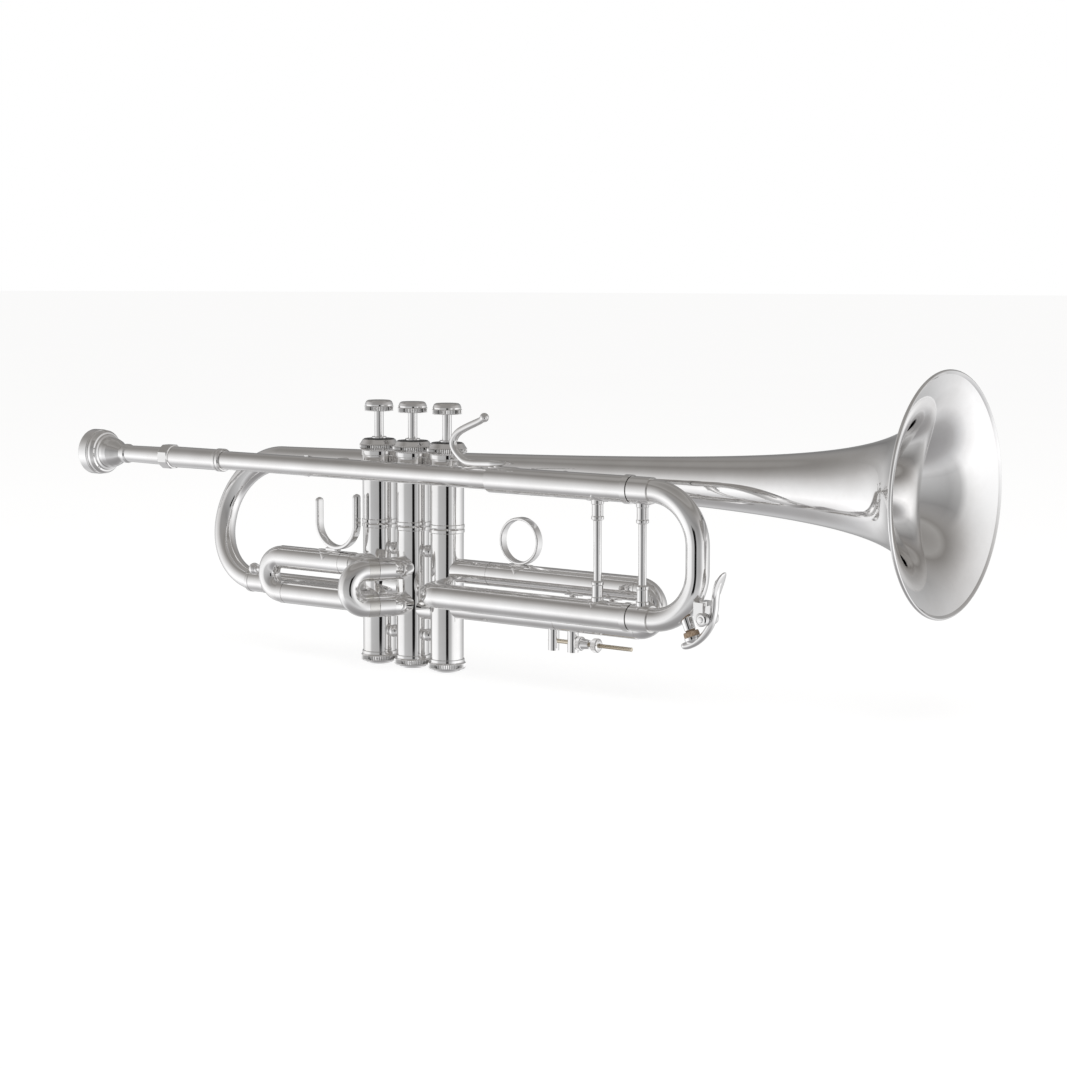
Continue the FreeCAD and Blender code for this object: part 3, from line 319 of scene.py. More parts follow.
def flowing(points, steps=8):
    """A smooth path through all the points."""
    points = [Vector(p) for p in points]
    points = [points[0] * 2 - points[1]] + points + [points[-1] * 2 - points[-2]]
    out = [points[1]]
    for a, b, c, d in zip(points, points[1:], points[2:], points[3:]):
        for k in range(1, steps + 1):
            t = k / steps
            out.append((b * 2 + (c - a) * t + (a * 2 - b * 5 + c * 4 - d) * t * t
                        + (b * 3 - c * 3 + d - a) * t * t * t) / 2)
    return out


def sweep(path, normal, section):
    """A section carried along a flat path.  section(travelled, length) gives its points."""
    normal = Vector(normal).normalized()
    path = [p for i, p in enumerate(path) if i == 0 or (p - path[i - 1]).length > 1e-4]
    travelled = [0.0]
    for before, after in zip(path, path[1:]):
        travelled.append(travelled[-1] + (after - before).length)
    verts = []
    for i, point in enumerate(path):
        ahead = (path[min(i + 1, len(path) - 1)] - path[max(i - 1, 0)]).normalized()
        side = normal.cross(ahead)
        ring = section(travelled[i], travelled[-1])
        verts += [point + side * a + normal * b for a, b in ring]
    count, faces = len(ring), []
    for i in range(len(path) - 1):
        for k in range(count):
            n, base = (k + 1) % count, i * count
            faces.append([base + k, base + n, base + count + n, base + count + k])
    last = (len(path) - 1) * count
    return verts, faces + [list(range(count)), list(range(last, last + count))]


def tapering_ends(points, length):
    """A section that rounds off to nothing over the last stretch at both ends."""
    def section(travelled, whole):
        gone = min(1, travelled / length + 0.02, (whole - travelled) / length + 0.02)
        scale = math.sqrt(1 - (1 - gone) ** 2)
        return [(a * scale, b * scale) for a, b in points]
    return section


def foot(radius, reach, centre, axis, side, width=None):
    """A thin diamond, pointed both ways, lying on a tube."""
    axis, side, centre = Vector(axis), Vector(side), Vector(centre)
    across, width = axis.cross(side), width or reach
    rows, columns, thick = 36, 18, 0.4
    verts, faces = [], []
    for top in (True, False):
        for i in range(rows + 1):
            u = -1 + 2 * i / rows
            half = width * (1 - abs(u)) ** 1.3 + 0.15
            for j in range(columns + 1):
                v = -1 + 2 * j / columns
                edge = max(abs(u), abs(v)) ** 6
                height = radius + (thick * (1 - edge) + 0.02 if top else -0.2)
                angle = v * half / radius
                spoke = side * math.cos(angle) + across * math.sin(angle)
                verts.append(centre + axis * (u * reach) + spoke * height)
    under = len(verts) // 2
    for i in range(rows):
        for j in range(columns):
            a = i * (columns + 1) + j
            quad = [a, a + 1, a + columns + 2, a + columns + 1]
            faces += [quad, [under + k for k in reversed(quad)]]
    rim = [i * (columns + 1) for i in range(rows + 1)]
    rim += [rows * (columns + 1) + j for j in range(1, columns + 1)]
    rim += [i * (columns + 1) + columns for i in range(rows - 1, -1, -1)]
    rim += list(range(columns - 1, 0, -1))
    for a, b in zip(rim, rim[1:] + rim[:1]):
        faces.append([a, b, b + under, a + under])
    return verts, faces


def pad(centre, length, width, thick, curl, rows=32, columns=48):
    """A thin rounded plate, curled along its length.  length, width and thick are vectors."""
    verts, faces = [], []
    for i in range(rows + 1):
        lift = -math.pi / 2 + math.pi * i / rows
        count = columns if 0 < i < rows else 1
        for k in range(count):
            angle = 2 * math.pi * k / columns
            c, s = math.cos(angle), math.sin(angle)
            out = math.cos(lift) ** 0.45
            u, v, w = out * c, out * s, math.sin(lift)
            verts.append(Vector(centre) + length * u + width * v
                         + thick * (w + curl * u * u))
    for i in range(rows):
        first = 0 if i == 0 else 1 + (i - 1) * columns
        second = 1 + i * columns
        for k in range(columns):
            n = (k + 1) % columns
            if i == 0:
                faces.append([0, second + n, second + k])
            elif i == rows - 1:
                faces.append([first + k, first + n, len(verts) - 1])
            else:
                faces.append([first + k, first + n, second + n, second + k])
    return verts, faces


def coil(centre, axis, radius, wire, pitch, turns, steps=40, around=12):
    """A coil of round wire about an axis."""
    turn = Vector(axis).to_track_quat("Z", "Y").to_matrix()
    verts, faces, count = [], [], round(turns * steps)
    for i in range(count + 1):
        angle = 2 * math.pi * i / steps
        for k in range(around):
            fold = 2 * math.pi * k / around
            out = radius + wire * math.cos(fold)
            verts.append(Vector(centre) + turn @ Vector((
                out * math.cos(angle), out * math.sin(angle),
                pitch * i / steps + wire * math.sin(fold))))
    for i in range(count):
        for k in range(around):
            n, base = (k + 1) % around, i * around
            faces.append([base + k, base + n, base + around + n, base + around + k])
    last = count * around
    return verts, faces + [list(range(around)), list(range(last, last + around))]


def new_object(name, data):
    obj = bpy.data.objects.new(name, data)
    bpy.context.scene.collection.objects.link(obj)
    return obj


def piece(name, body, shells, stands_for=(), slot="silver_plate", look=None, crease=38):
    """One object made of closed shells, riding on a body in place of some CAD nodes."""
    mesh = bpy.data.meshes.new(name)
    verts, faces = [], []
    for shell_verts, shell_faces in shells:
        faces += [[len(verts) + i for i in face] for face in shell_faces]
        verts += [v * MM for v in shell_verts]
    mesh.from_pydata(verts, [], faces)
    turned = bmesh.new()
    turned.from_mesh(mesh)
    bmesh.ops.recalc_face_normals(turned, faces=turned.faces)
    turned.to_mesh(mesh)
    turned.free()
    mesh.shade_smooth()
    mesh.set_sharp_from_angle(angle=math.radians(crease))
    mesh.materials.append(MATERIALS[look or slot])
    obj = new_object(name, mesh)
    weighted = obj.modifiers.new("weighted", "WEIGHTED_NORMAL")
    weighted.keep_sharp = True
    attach(obj, body)
    if stands_for:
        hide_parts(*stands_for)
    return obj


# ---------------------------------------------------------------- valves
VALVES = {n: middle(f"piston_{n}").x for n in (1, 2, 3)}
# Fewer and deeper grooves than the real knurls have, so that they show in a picture.
CAP_GROOVES, BUTTON_GROOVES = 64, 56


def paint_groove_shade(obj, x, count, start, end, least):
    """Painted shade: a dark metal laid on the bottoms of a knurl's grooves, where shade falls."""
    obj.data.materials.append(MATERIALS["groove_shade"])
    last = len(obj.data.materials) - 1
    for face in obj.data.polygons:
        spot = face.center / MM
        ridge = abs(math.atan2(spot.y, spot.x - x) * count / math.pi % 2 - 1)
        if (ridge > 0.6 and start < spot.z < end
                and math.hypot(spot.x - x, spot.y) > least):
            face.material_index = last


def top_cap(number, x):
    base, top = low("top_caps").z, high("top_cap_felts").z - 0.4
    outline = refined(rounded([
        (9.1, 0), (9.95, 0, 0.3), (9.95, 2.7, 0.25), (10.3, 3.1, 0.15), (11.2, 4.5, 0.4),
        (11.2, 5.9, 0.4), (10.65, 6.6, 0.15), (9.15, top - base, 0.35), (8.65, top - base, 0.12),
        (8.65, top - base - 0.6), (4.2, top - base - 0.6), (4.2, 10.5, 0.35), (2.85, 10.5, 0.15),
        (2.85, 2.6), (9.1, 2.6)]), 0.4)
    cap = piece(f"top_cap_{number}", "horn",
                [spin(outline, (x, 0, base), segments=384,
                      warp=knurl(CAP_GROOVES, 0.4, 3.0, 6.5, 10.2))],
                ["top_caps"])
    paint_groove_shade(cap, x, CAP_GROOVES, base + 3.2, base + 6.3, 10.2)
    felt_outline = refined(rounded([(4.3, 0), (8.6, 0), (8.6, 0.95, 0.35), (4.3, 1.0, 0.2)]), 0.3)
    floor = low("top_cap_felts").z

    def fuzz(radius, height, angle):
        return radius + 0.05 * math.sin(37 * angle + 9 * height) * math.sin(61 * angle + radius)

    piece(f"cap_felt_{number}", "horn",
          [spin(felt_outline, (x, 0, floor), segments=240, warp=fuzz)], ["top_cap_felts"], "felt")


def bottom_cap(number, x):
    outline = refined(rounded([
        (0, 0), (6.3, 0, 0.4), (7.5, 0.4, 0.3), (7.75, 1.2, 0.2), (9.8, 1.5, 0.35),
        (10.6, 2.4, 0.3), (10.6, 4.7, 0.3), (10.0, 5.3, 0.12), (9.85, 5.6, 0.12), (9.85, 7.2, 0.3),
        (9.1, 7.2), (9.1, 2.4), (0, 2.4)]), 0.45)
    base = low("bottom_caps").z
    cap = piece(f"bottom_cap_{number}", "horn",
                [spin(outline, (x, 0, base), segments=384,
                      warp=knurl(CAP_GROOVES, 0.4, 2.3, 4.9, 10.2))],
                ["bottom_caps"])
    paint_groove_shade(cap, x, CAP_GROOVES, base + 2.5, base + 4.7, 9.8)


def button(number, x):
    """A domed button with a knurled lower rim and a satin top."""
    base = low(f"finger_button_{number}").z
    outline = refined(rounded([
        (0, 3.0), (3.15, 3.0), (3.15, 1.7), (6.8, 1.5, 0.2), (7.25, 0, 0.2), (8.0, 0, 0.25),
        (8.42, 0.5, 0.3), (8.42, 2.5, 0.25), (7.85, 2.8, 0.1), (7.95, 3.6, 0.5),
        (7.3, 5.3, 1.3), (6.4, 5.9, 0.35), (6.0, 5.97, 0.1), (0, 5.97)]), 0.4)
    obj = piece(f"button_{number}", f"valve_{number}",
                [spin(outline, (x, 0, base), segments=336,
                      warp=knurl(BUTTON_GROOVES, 0.35, 0.2, 2.7, 8.0))],
                [f"finger_button_{number}"])
    obj.data.materials.append(MATERIALS["silver_satin"])
    for face in obj.data.polygons:
        if face.center.z / MM > base + 5.93:
            face.material_index = 1
    paint_groove_shade(obj, x, BUTTON_GROOVES, base + 0.4, base + 2.5, 7.7)


for valve, place in VALVES.items():
    top_cap(valve, place)
    bottom_cap(valve, place)
    button(valve, place)


# ---------------------------------------------------------------- bell
TILT = math.radians(0.6)
BELL_AXIS = Vector((math.cos(TILT), 0, math.sin(TILT)))
MOUTH = middle("bell_rim_wire") + BELL_AXIS * 0.05
MOUTH_RADIUS, FLARE_LENGTH, FLARE_POWER = 61.1, 9.3, 0.55  # as in the CAD
STEM_LENGTH = (MOUTH.x - low("bell_stem").x) / math.cos(TILT)


def flare(back):
    """The bell's outer radius at a distance behind its mouth: a Bessel horn."""
    return MOUTH_RADIUS * (FLARE_LENGTH / (back + FLARE_LENGTH)) ** FLARE_POWER


def bell():
    """One spun sheet from stem to mouth, rolled round a wire at the rim."""
    steps = 120
    backs = [0.55 + (STEM_LENGTH - 0.55) * (1 - i / steps) ** 2.4 for i in range(steps + 1)]
    outside = [Vector((flare(b), -b)) for b in backs]
    inside = []
    for i, point in enumerate(outside):
        ahead = outside[min(i + 1, steps)] - outside[max(i - 1, 0)]
        inside.append(point + Vector((-ahead.y, ahead.x)).normalized() * 0.5)
    inside = [p for p in inside if p.x < 59.9]
    wire = Vector((60.3, 0.0))
    bead = [wire + Vector((math.cos(a), math.sin(a))) * 1.0
            for a in (math.radians(-165 + 15 * k) for k in range(18))]
    piece("bell", "horn", [spin(outside + bead + inside[::-1], MOUTH, BELL_AXIS, 256)],
          ["bell_flare", "bell_stem", "bell_rim_wire"], crease=50)


def bell_bow():
    """The canted bow, drawn down from the stem's width to the tail's."""
    top = MOUTH - BELL_AXIS * STEM_LENGTH
    tail = middle("bell_tail")
    bottom = Vector((top.x, tail.y, tail.z))
    spacing = (bottom - top).length
    out = Vector((-(0.5 + spacing * 0.49), 0, 0))
    path = route([top, top + out, bottom + out, bottom], [spacing * 0.49] * 2, 2)
    wide, slim = flare(STEM_LENGTH), 6.2

    def section(travelled, whole):
        share = min(1, travelled / (whole * 0.45))
        return circle(wide + (slim - wide) * share * share * (3 - 2 * share), 64)

    piece("bow", "horn", [sweep(path, (bottom - top).cross(out), section)], ["bell_bow"])
    collar = rounded([(slim - 0.1, 0), (6.75, 0, 0.25), (6.75, 2.2, 0.1), (6.5, 2.5, 0.1),
                      (6.5, 11.5, 0.1), (6.75, 11.8, 0.1), (6.75, 14, 0.25), (slim - 0.1, 14)])
    piece("bow_ferrule", "horn", [spin(collar, bottom - Vector((7, 0, 0)), FRONT, 96)])


bell()
bell_bow()


# ---------------------------------------------------------------- leadpipe side
def mouthpiece():
    start, centre = low("mouthpiece").x, middle("mouthpiece")
    outline = rounded([
        (8.0, 1.3, 0.8), (9.2, 0, 1.2), (12.7, 0, 0.9), (13.6, 1.1, 0.8), (13.6, 7.0, 0.35),
        (13.1, 7.4, 0.2), (12.5, 7.5, 0.15), (12.5, 8.2, 0.15), (13.1, 8.6, 0.3),
        (13.2, 10.4, 1.2), (12.0, 12.0, 0.5), (10.9, 12.3, 0.2), (10.6, 13.2, 0.5),
        (9.3, 13.8, 0.4), (9.1, 16.0, 2), (8.6, 18.8, 4), (7.5, 21.6, 5), (6.1, 23.8, 4),
        (5.0, 26.2, 1.5), (4.9, 27.9, 0.3), (5.75, 28.4, 0.35),
        (5.75, 30.7, 0.35), (4.95, 31.3, 0.3), (5.0, 33.5, 1), (5.35, 61.5, 8), (5.2, 85.3, 0.1),
        (4.4, 85.3, 0.1), (1.85, 40.0, 20), (1.85, 20.0, 6), (4.2, 15.5, 4), (6.9, 10.0, 4)], 8)
    piece("mouthpiece_turned", "mouthpiece",
          [spin(outline, (start, centre.y, centre.z), FRONT, 160)], ["mouthpiece"], crease=50)


def receiver():
    """The socket, with its eight-sided collar and a double ring over the leadpipe."""
    start, centre = low("mouthpiece_receiver").x, middle("mouthpiece_receiver")
    length = high("mouthpiece_receiver").x - start
    outline = refined(rounded([
        (5.6, -2), (6.9, -2, 0.2), (7.5, -1.3, 0.3), (7.5, 4.9, 0.3), (6.9, 5.6, 0.2),
        (6.2, 5.8, 0.1), (6.2, length - 5.1, 0.1), (6.75, length - 4.7, 0.25),
        (6.75, length - 2.9, 0.25), (6.3, length - 2.5, 0.1), (6.75, length - 2.1, 0.25),
        (6.75, length - 0.4, 0.25), (6.3, length, 0.1), (5.55, length)]), 1.5)

    def facets(radius, height, angle):
        if radius < 6.7 or not -1.8 < height < 5.4:
            return radius
        lean = (angle + math.pi / 8) % (math.pi / 4) - math.pi / 8
        return min(radius, 6.98 / math.cos(lean))

    piece("receiver_collar", "horn",
          [spin(outline, (start, centre.y, centre.z), FRONT, 256, facets)],
          ["mouthpiece_receiver"], crease=12)


def brace(name, node, body, reach):
    """A slim rod in two turned sleeves, standing on diamond feet on the main tubes."""
    centre, upper = middle(node), middle("upper_slide_tube")
    upper.x = centre.x
    lower = centre * 2 - upper  # the brace's box is midway between its two tubes
    rise = upper - lower
    half = rise.length / 2
    stand = OUTER_TUBE - 0.4
    outline = rounded([
        (0, stand), (3.35, stand), (3.35, stand + 2.0, 0.2), (2.95, stand + 2.4, 0.1),
        (2.95, stand + 8.4, 0.1), (3.3, stand + 8.8, 0.2), (3.3, stand + 10.2, 0.3),
        (2.1, stand + 10.9, 0.1), (2.05, half + 0.1), (0, half + 0.1)])
    shells = [spin(outline, lower, rise, 64), spin(outline, upper, -rise, 64)]
    shells += [foot(OUTER_TUBE, reach, lower, FRONT, UP),
               foot(OUTER_TUBE, reach, upper, FRONT, DOWN)]
    piece(name, body, shells, [node])


def finger_hook():
    """A bent rod that slims towards its ball tip and lies down along the tube.

    Its path was fitted to the photograph, so it isn't the CAD hook's."""
    y, z = middle("upper_slide_tube").y, middle("leadpipe").z
    path = flowing([(x, y, h) for x, h in (
        (79, 120.2), (72, 120.0), (64, 119.7), (57, 119.6), (52.2, 120.4), (48.3, 123.0),
        (45.2, 126.3), (44.0, 129.6), (45.2, 133.0), (48.2, 136.0), (53.0, 138.5), (58.2, 140.7),
        (62.6, 142.6), (65.2, 144.3))])

    def section(travelled, whole):
        share = travelled / whole
        end = math.sqrt(min(1, 0.02 + travelled / 9))
        return circle((2.3 - 0.5 * share * share) * end, 32)

    ball = [(2.5 * math.sin(a), -2.5 * math.cos(a)) for a in (math.pi * k / 24 for k in range(25))]
    ball[0], ball[-1] = (0, -2.5), (0, 2.5)
    shells = [sweep(path, ACROSS, section),
              spin(ball, (65.2, y, high("finger_hook").z - 2.5), UP, 48),
              foot(LEADPIPE, 8.5, (56, y, z), FRONT, UP, 4.2),
              foot(OUTER_TUBE, 9.5, (79, y, z), FRONT, UP, 5.2)]
    piece("hook", "horn", shells, ["finger_hook"])


mouthpiece()
receiver()
brace("fixed_brace", "outer_tube_brace", "horn", 7.3)
brace("slide_brace", "tuning_slide_brace", "tuning_slide", 5.7)
finger_hook()


# ---------------------------------------------------------------- water key
def water_key():
    """Lever with a curled paddle, cork in its cup, and a coil spring round the pivot."""
    pivot = Vector((206.0, -19.0, 48.6))  # this and the cork's seat are as in the CAD
    seat = pivot + Vector((-9.54, 0, -7.36))
    drop = Vector((0.375, 0, -0.927))
    path = flowing([pivot + Vector((a, 0, b)) for a, b in (
        (-15, -15.2), (-11, -14.9), (-5.5, -12.2), (-0.6, -7.6), (3.0, -1.6), (4.6, 5),
        (5.0, 11), (5.8, 16), (7.4, 21))], 6)

    def section(travelled, whole):
        end = math.sqrt(min(1, 0.05 + travelled / 2.0, 0.05 + (whole - travelled) / 2.0))
        wide = 2.2 + 0.8 * max(0, travelled / whole - 0.6)
        return [(a * 1.8 * end, b * wide * end) for a, b in circle(1.0, 32)]

    hub = rounded([(0.95, -3.2), (2.2, -3.2, 0.25), (2.2, 3.2, 0.25), (0.95, 3.2)])
    cup = rounded([(0, 2.9), (4.35, 2.9, 0.15), (4.35, 4.6, 0.5), (2.2, 6.0, 0.6), (0, 6.4)])
    lean = Vector((0.36, 0, 1)).normalized()
    paddle = pad(pivot + Vector((6.6, 0, 17.2)), lean * 8.0, Vector((0, 4.1, 0)),
                 Vector((1, 0, -0.36)).normalized() * 1.05, 0.9)
    piece("key_lever", "water_key",
          [sweep(path, ACROSS, section), spin(hub, pivot, ACROSS, 64),
           spin(cup, seat, drop, 64), paddle], ["water_key_lever"])
    disc = rounded([(0, 0.05), (3.9, 0.05, 0.3), (4.1, 1.2, 0.4), (4.1, 2.95, 0.1), (0, 2.95)])
    piece("key_cork", "water_key", [spin(refined(disc, 0.5), seat, drop, 96)],
          ["water_key_cork"], "cork")
    piece("key_coil", "tuning_slide",
          [coil(pivot + Vector((0, -3.05, 0)), ACROSS, 2.75, 0.27, 0.6, 2.6)],
          ["water_key_spring"], "spring_steel")
    head = rounded([(0, -2.2), (3.55, -2.2, 0.3), (3.55, 0.3, 0.5), (2.6, 0.7, 0.1),
                    (2.4, 0.5, 0.1), (1.6, 0.5, 0.1), (1.3, 0.8, 0.3), (0, 0.9)])
    screws = [spin(head, pivot + Vector((0, side * 5.75, 0)), (0, side, 0), 48)
              for side in (-1, 1)]
    piece("key_screw", "tuning_slide", screws)


water_key()


# ---------------------------------------------------------------- valve slide fittings
def thumb_saddle():
    """An open U strap for the left thumb, on a diamond foot."""
    box_low, box_high = low("thumb_saddle"), high("thumb_saddle")
    mean, half_wall = 13.9, 1.1
    x, y, z = box_high.x - mean - half_wall, middle("first_slide_legs").y, 79.6
    path = [Vector((x - mean, y, z + 14.0)), Vector((x - mean, y, z))]
    path += [Vector((x - mean * math.cos(a), y, z - mean * math.sin(a)))
             for a in (math.radians(4 * k) for k in range(1, 45))]
    path += [Vector((x + mean, y, box_high.z))]
    strap = sweep(fine(path, 0.7), ACROSS, tapering_ends(soft_bar(2.3, 5.6), 2.0))
    lug = sweep(fine([Vector((x - 8.5, y, 64.4)), Vector((x + 1, y, 64.4))], 0.7), ACROSS,
                tapering_ends(soft_bar(2.4, 4.6), 1.5))
    piece("saddle", "first_slide",
          [strap, lug, foot(SLIDE_TUBE, 9.0, (box_low.x + 9, y, box_low.z), FRONT, UP)],
          ["thumb_saddle"])


def slide_knob():
    tip = Vector((high("first_slide_knob").x, middle("first_slide_knob").y - 1.2,
                  middle("first_slide_bow").z + 1.6))
    outline = rounded([(0, -0.6), (1.75, -0.6), (1.75, 1.0, 0.2), (1.15, 1.5, 0.2),
                       (1.3, 2.0, 0.2), (2.9, 2.4, 0.9), (3.5, 4.6, 1.8), (2.7, 6.7, 1.5),
                       (0, 7.45)])
    piece("slide_knob", "first_slide", [spin(outline, tip, BACK, 64)], ["first_slide_knob"])


def finger_ring():
    box_low, box_high = low("finger_ring"), high("finger_ring")
    x, radius = middle("finger_ring").x, (box_high.x - box_low.x) / 2
    z = box_high.z - radius
    band = rounded([(radius - 1.6, -2.5, 0.7), (radius, -2.5, 0.7), (radius, 2.5, 0.7),
                    (radius - 1.6, 2.5, 0.7)])
    lug = sweep(fine([Vector((x - 4, 0, z - radius + 0.1)), Vector((x + 4, 0, z - radius + 0.1))],
                     0.7), ACROSS, tapering_ends(soft_bar(1.3, 3.4), 1.5))
    piece("ring", "third_slide",
          [spin(band, (x, 0, z), ACROSS, 128), lug,
           foot(SLIDE_TUBE, 8.6, (x, 0, box_low.z), FRONT, UP)], ["finger_ring"])


def stop_gear():
    """The threaded rod and its two knurled nuts."""
    rod_low, rod_high = low("stop_rod"), high("stop_rod")
    z, length, radius = middle("stop_rod").z, rod_high.x - rod_low.x, 1.15
    outline = refined(rounded([(0, 0), (radius, 0), (radius, length, 0.3), (0, length)]), 0.12)
    piece("stop_thread", "horn",
          [spin(outline, (rod_low.x, 0, z), FRONT, 32,
                thread(0.7, 0.2, 19.0, length - 0.4, 0.9))],
          ["stop_rod"], "nickel_silver", "thread_metal", 80)
    shells = []
    start = low("stop_nuts").x
    for x, wide, flare_length in ((start, 3.0, 4.6), (start + 10, 3.6, 0.4)):
        nut = refined(rounded([
            (1.25, 0), (3.3, 0, 0.2), (3.8, 0.5, 0.15), (3.8, wide - 0.5, 0.15),
            (3.3, wide, 0.15), (2.9, wide + 0.15, 0.1), (2.4, wide + flare_length, 0.2),
            (1.25, wide + flare_length)]), 0.3)
        shells.append(spin(nut, (x, 0, z), FRONT, 160, knurl(40, 0.3, 0.1, wide - 0.1, 3.2)))
    piece("knurled_nuts", "stop_nuts", shells, ["stop_nuts"])


thumb_saddle()
slide_knob()
finger_ring()
stop_gear()


# ---------------------------------------------------------------- finishes on CAD nodes
SLOTS = {part["node"]: part["material_slot"] for part in frame["record"]["subparts"]}
for node_name, obj in frame["nodes"].items():
    obj.data.materials.clear()
    obj.data.materials.append(MATERIALS[SLOTS[node_name]])


# ---------------------------------------------------------------- studio
def camera():
    """The photograph's viewing angle: 36 degrees round from the right side, 6.6 down."""
    turn, pitch, roll = math.radians(36.043), math.radians(6.569), math.radians(0.258)
    right = Vector((math.cos(turn), math.sin(turn), 0))
    ahead = Vector((-math.sin(turn) * math.cos(pitch), math.cos(turn) * math.cos(pitch),
                    -math.sin(pitch)))
    up = right.cross(ahead)
    right, up = (right * math.cos(roll) + up * math.sin(roll),
                 up * math.cos(roll) - right * math.sin(roll))
    data = bpy.data.cameras.new("camera")
    data.sensor_fit, data.sensor_width, data.lens = "HORIZONTAL", 36, 78.14
    data.clip_start, data.clip_end = 0.01, 50
    obj = new_object("camera", data)
    place = Matrix((right, up, -ahead)).transposed().to_4x4()
    place.translation = Vector((0.814993, -1.004825, 0.223994))
    obj.matrix_world = place
    bpy.context.scene.camera = obj


# The studio round the horn, as the metal sees it: a shade at each height (the sine of the
# elevation), and a change at each bearing that fades out upwards and downwards.  Both were
# fitted to the reflections in the photograph.
HEIGHTS = [(-1.0, (0.30, 0.295, 0.30)), (-0.83, (0.37, 0.365, 0.37)), (-0.76, (0.44, 0.435, 0.44)),
           (-0.68, (0.60, 0.60, 0.61)), (-0.55, (0.86, 0.86, 0.87)), (-0.36, (1.0, 1.0, 1.01)),
           (-0.03, (0.80, 0.80, 0.805)), (0.25, (0.60, 0.595, 0.595)), (0.5, (0.41, 0.40, 0.395)),
           (0.75, (0.25, 0.24, 0.23)), (0.83, (0.35, 0.34, 0.33)), (1.0, (0.27, 0.26, 0.25))]
BEARINGS = [(-180, 1.0), (-165, 1.2), (-128, 1.12), (-118, 0.95), (-109, 0.60), (-62, 0.52),
            (-40, 0.48), (-24, 0.6), (-12, 1.05), (2, 1.2), (32, 1.25), (48, 1.1), (64, 0.85),
            (84, 0.62), (116, 0.42), (135, 0.38), (155, 0.6), (170, 0.9)]


def studio_world():
    """What the metal mirrors, and plain white behind it all for the camera."""
    world = bpy.data.worlds.new("studio")
    bpy.context.scene.world = world
    world.use_nodes = True
    tree = world.node_tree
    join = tree.links.new

    def add(kind):
        return tree.nodes.new("ShaderNode" + kind)

    def scale(source, low_end, high_end, stops):
        """A ramp over a value's whole range; stops are (value, colour)."""
        span = map_range(add, low_end, high_end)
        join(source, span.inputs["Value"])
        ramp = ramp_of(add, [((at - low_end) / (high_end - low_end), colour)
                             for at, colour in stops])
        join(span.outputs["Result"], ramp.inputs["Fac"])
        return ramp.outputs["Color"]

    def blend(kind, factor, first, second):
        mix = add("Mix")
        mix.data_type, mix.blend_type = "RGBA", kind
        for socket, value in zip((mix.inputs[0], mix.inputs[6], mix.inputs[7]),
                                 (factor, first, second)):
            if isinstance(value, bpy.types.NodeSocket):
                join(value, socket)
            else:
                socket.default_value = value
        return mix.outputs[2]

    def greys(stops):
        return [(at, (grey, grey, grey)) for at, grey in stops]

    where, split, angle = add("TexCoord"), add("SeparateXYZ"), add("Math")
    join(where.outputs["Generated"], split.inputs[0])
    angle.operation = "ARCTAN2"
    join(split.outputs["Y"], angle.inputs[0])
    join(split.outputs["X"], angle.inputs[1])
    rise, bearing = split.outputs["Z"], angle.outputs[0]

    def round_about(stops):
        return scale(bearing, -math.pi, math.pi, [(math.radians(a), c) for a, c in greys(stops)])

    shade = scale(rise, -1, 1, HEIGHTS)
    near = scale(rise, -1, 1, greys([(-0.75, 0), (-0.4, 1), (0.35, 1), (0.7, 0)]))
    shade = blend("MULTIPLY", near, shade, round_about(BEARINGS))

    light, plain = add("Background"), add("Background")
    ray, mix = add("LightPath"), add("MixShader")
    join(shade, light.inputs["Color"])
    plain.inputs["Color"].default_value = (1, 1, 1, 1)
    join(ray.outputs["Is Camera Ray"], mix.inputs["Fac"])
    join(light.outputs[0], mix.inputs[1])
    join(plain.outputs[0], mix.inputs[2])
    join(mix.outputs[0], tree.nodes["World Output"].inputs["Surface"])


def floor():
    """A plain white floor, which the metal doesn't mirror: it mirrors the studio."""
    material, shader, add, join = graph("floor")
    tree = material.node_tree
    tree.nodes.remove(shader)
    where = add("TexCoord").outputs["Object"]
    grain = add("TexNoise", Scale=3.0, Detail=2.0)
    join(where, grain.inputs["Vector"])
    matt = ramp_of(add, [(0.0, (0.40, 0.40, 0.40)), (1.0, (0.42, 0.42, 0.42))])
    join(grain.outputs["Fac"], matt.inputs["Fac"])
    glow, diffuse, both = add("Emission"), add("BsdfDiffuse"), add("AddShader")
    glow.inputs["Strength"].default_value = 0.82
    join(matt.outputs["Color"], diffuse.inputs["Color"])
    join(glow.outputs[0], both.inputs[0])
    join(diffuse.outputs[0], both.inputs[1])
    join(both.outputs[0], tree.nodes["Material Output"].inputs["Surface"])
    mesh = bpy.data.meshes.new("floor")
    disc = bmesh.new()
    bmesh.ops.create_circle(disc, cap_ends=True, radius=20, segments=96)
    disc.to_mesh(mesh)
    disc.free()
    mesh.materials.append(material)
    obj = new_object("floor", mesh)
    obj.location.z = CAD_BOX[0].z - 0.0002
    obj.visible_glossy = False


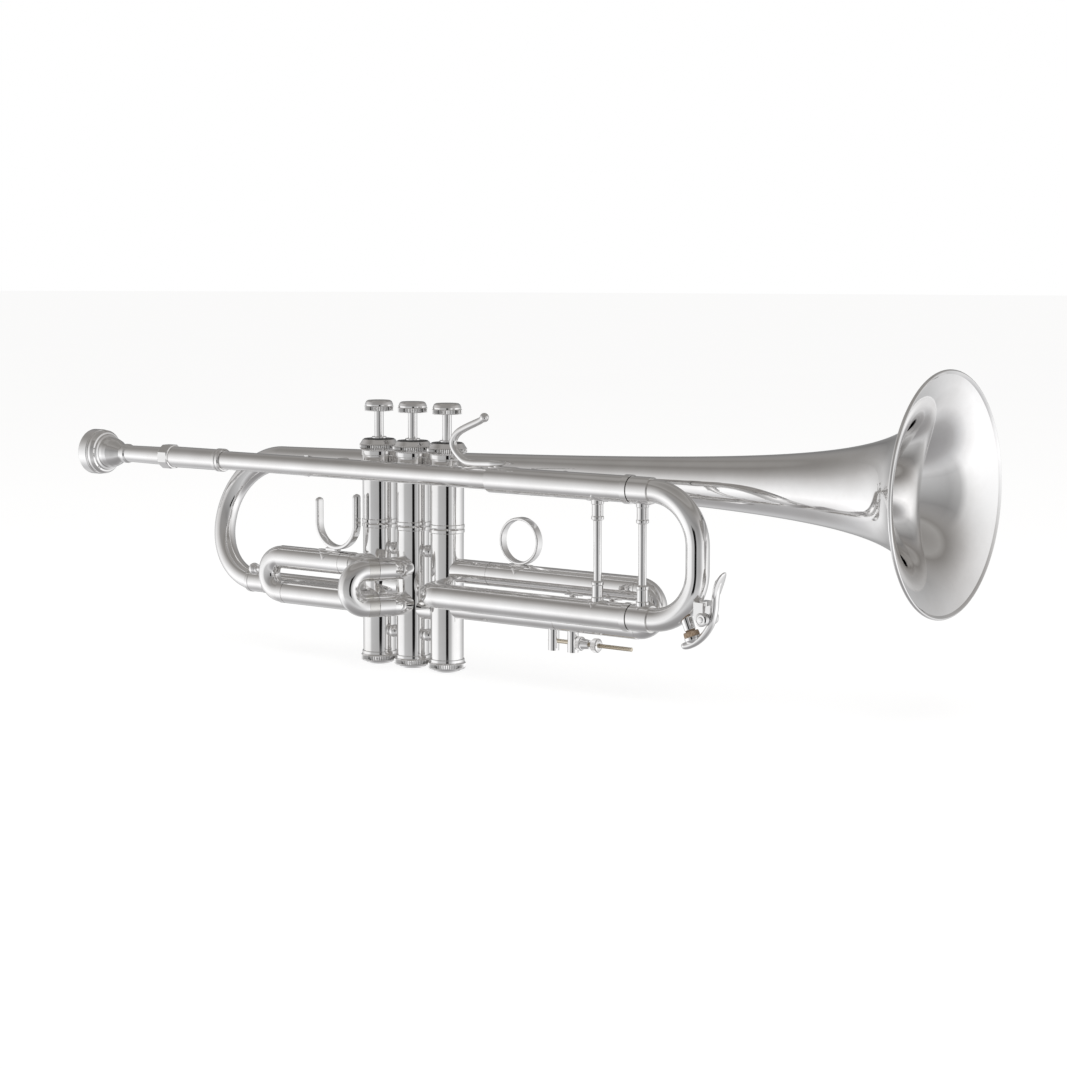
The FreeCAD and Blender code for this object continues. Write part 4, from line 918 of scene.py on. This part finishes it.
def dark_card():
    """A narrow black card that only the metal sees: the line down each casing.

    Its edges fade over 2 cm, which is too little to look soft in the bell's small reflection."""
    material, shader, add, join = graph("card")
    shader.inputs["Base Color"].default_value = (0.01, 0.01, 0.01, 1)
    shader.inputs["Specular IOR Level"].default_value = 0
    split, cover = add("SeparateXYZ"), add("Math")
    clear, mix = add("BsdfTransparent"), add("MixShader")
    join(add("TexCoord").outputs["Generated"], split.inputs[0])
    cover.operation = "MULTIPLY"
    for socket, axis, solid in ((0, "X", 0.34), (1, "Z", 0.38)):
        off, size, fade = add("Math"), add("Math"), map_range(add, solid, 0.5, 1, 0)
        off.operation, size.operation = "SUBTRACT", "ABSOLUTE"
        fade.interpolation_type = "SMOOTHSTEP"
        off.inputs[1].default_value = 0.5
        join(split.outputs[axis], off.inputs[0])
        join(off.outputs[0], size.inputs[0])
        join(size.outputs[0], fade.inputs["Value"])
        join(fade.outputs["Result"], cover.inputs[socket])
    join(cover.outputs[0], mix.inputs["Fac"])
    join(clear.outputs[0], mix.inputs[1])
    join(shader.outputs[0], mix.inputs[2])
    join(mix.outputs[0], material.node_tree.nodes["Material Output"].inputs["Surface"])
    bearing, away = math.radians(-47), 0.36
    centre = Vector((away * math.cos(bearing), away * math.sin(bearing), 0.035))
    across = Vector((-math.sin(bearing), math.cos(bearing), 0)) * 0.062
    rise = Vector((0, 0, 0.105))
    mesh = bpy.data.meshes.new("card")
    mesh.from_pydata([centre - across - rise, centre + across - rise,
                      centre + across + rise, centre - across + rise], [], [(0, 1, 2, 3)])
    mesh.materials.append(material)
    obj = new_object("card", mesh)
    obj.visible_camera = obj.visible_shadow = obj.visible_diffuse = False


def softbox():
    data = bpy.data.lights.new("softbox", "AREA")
    data.shape, data.size, data.energy = "DISK", 1.6, 7
    obj = new_object("softbox", data)
    obj.location = (0.35, -0.5, 1.5)
    aim = Vector((0.05, 0, 0)) - obj.location
    obj.rotation_euler = aim.to_track_quat("-Z", "Y").to_euler()
    obj.visible_glossy = False


camera()
studio_world()
floor()
dark_card()
softbox()
bpy.context.scene.view_settings.view_transform = "Standard"
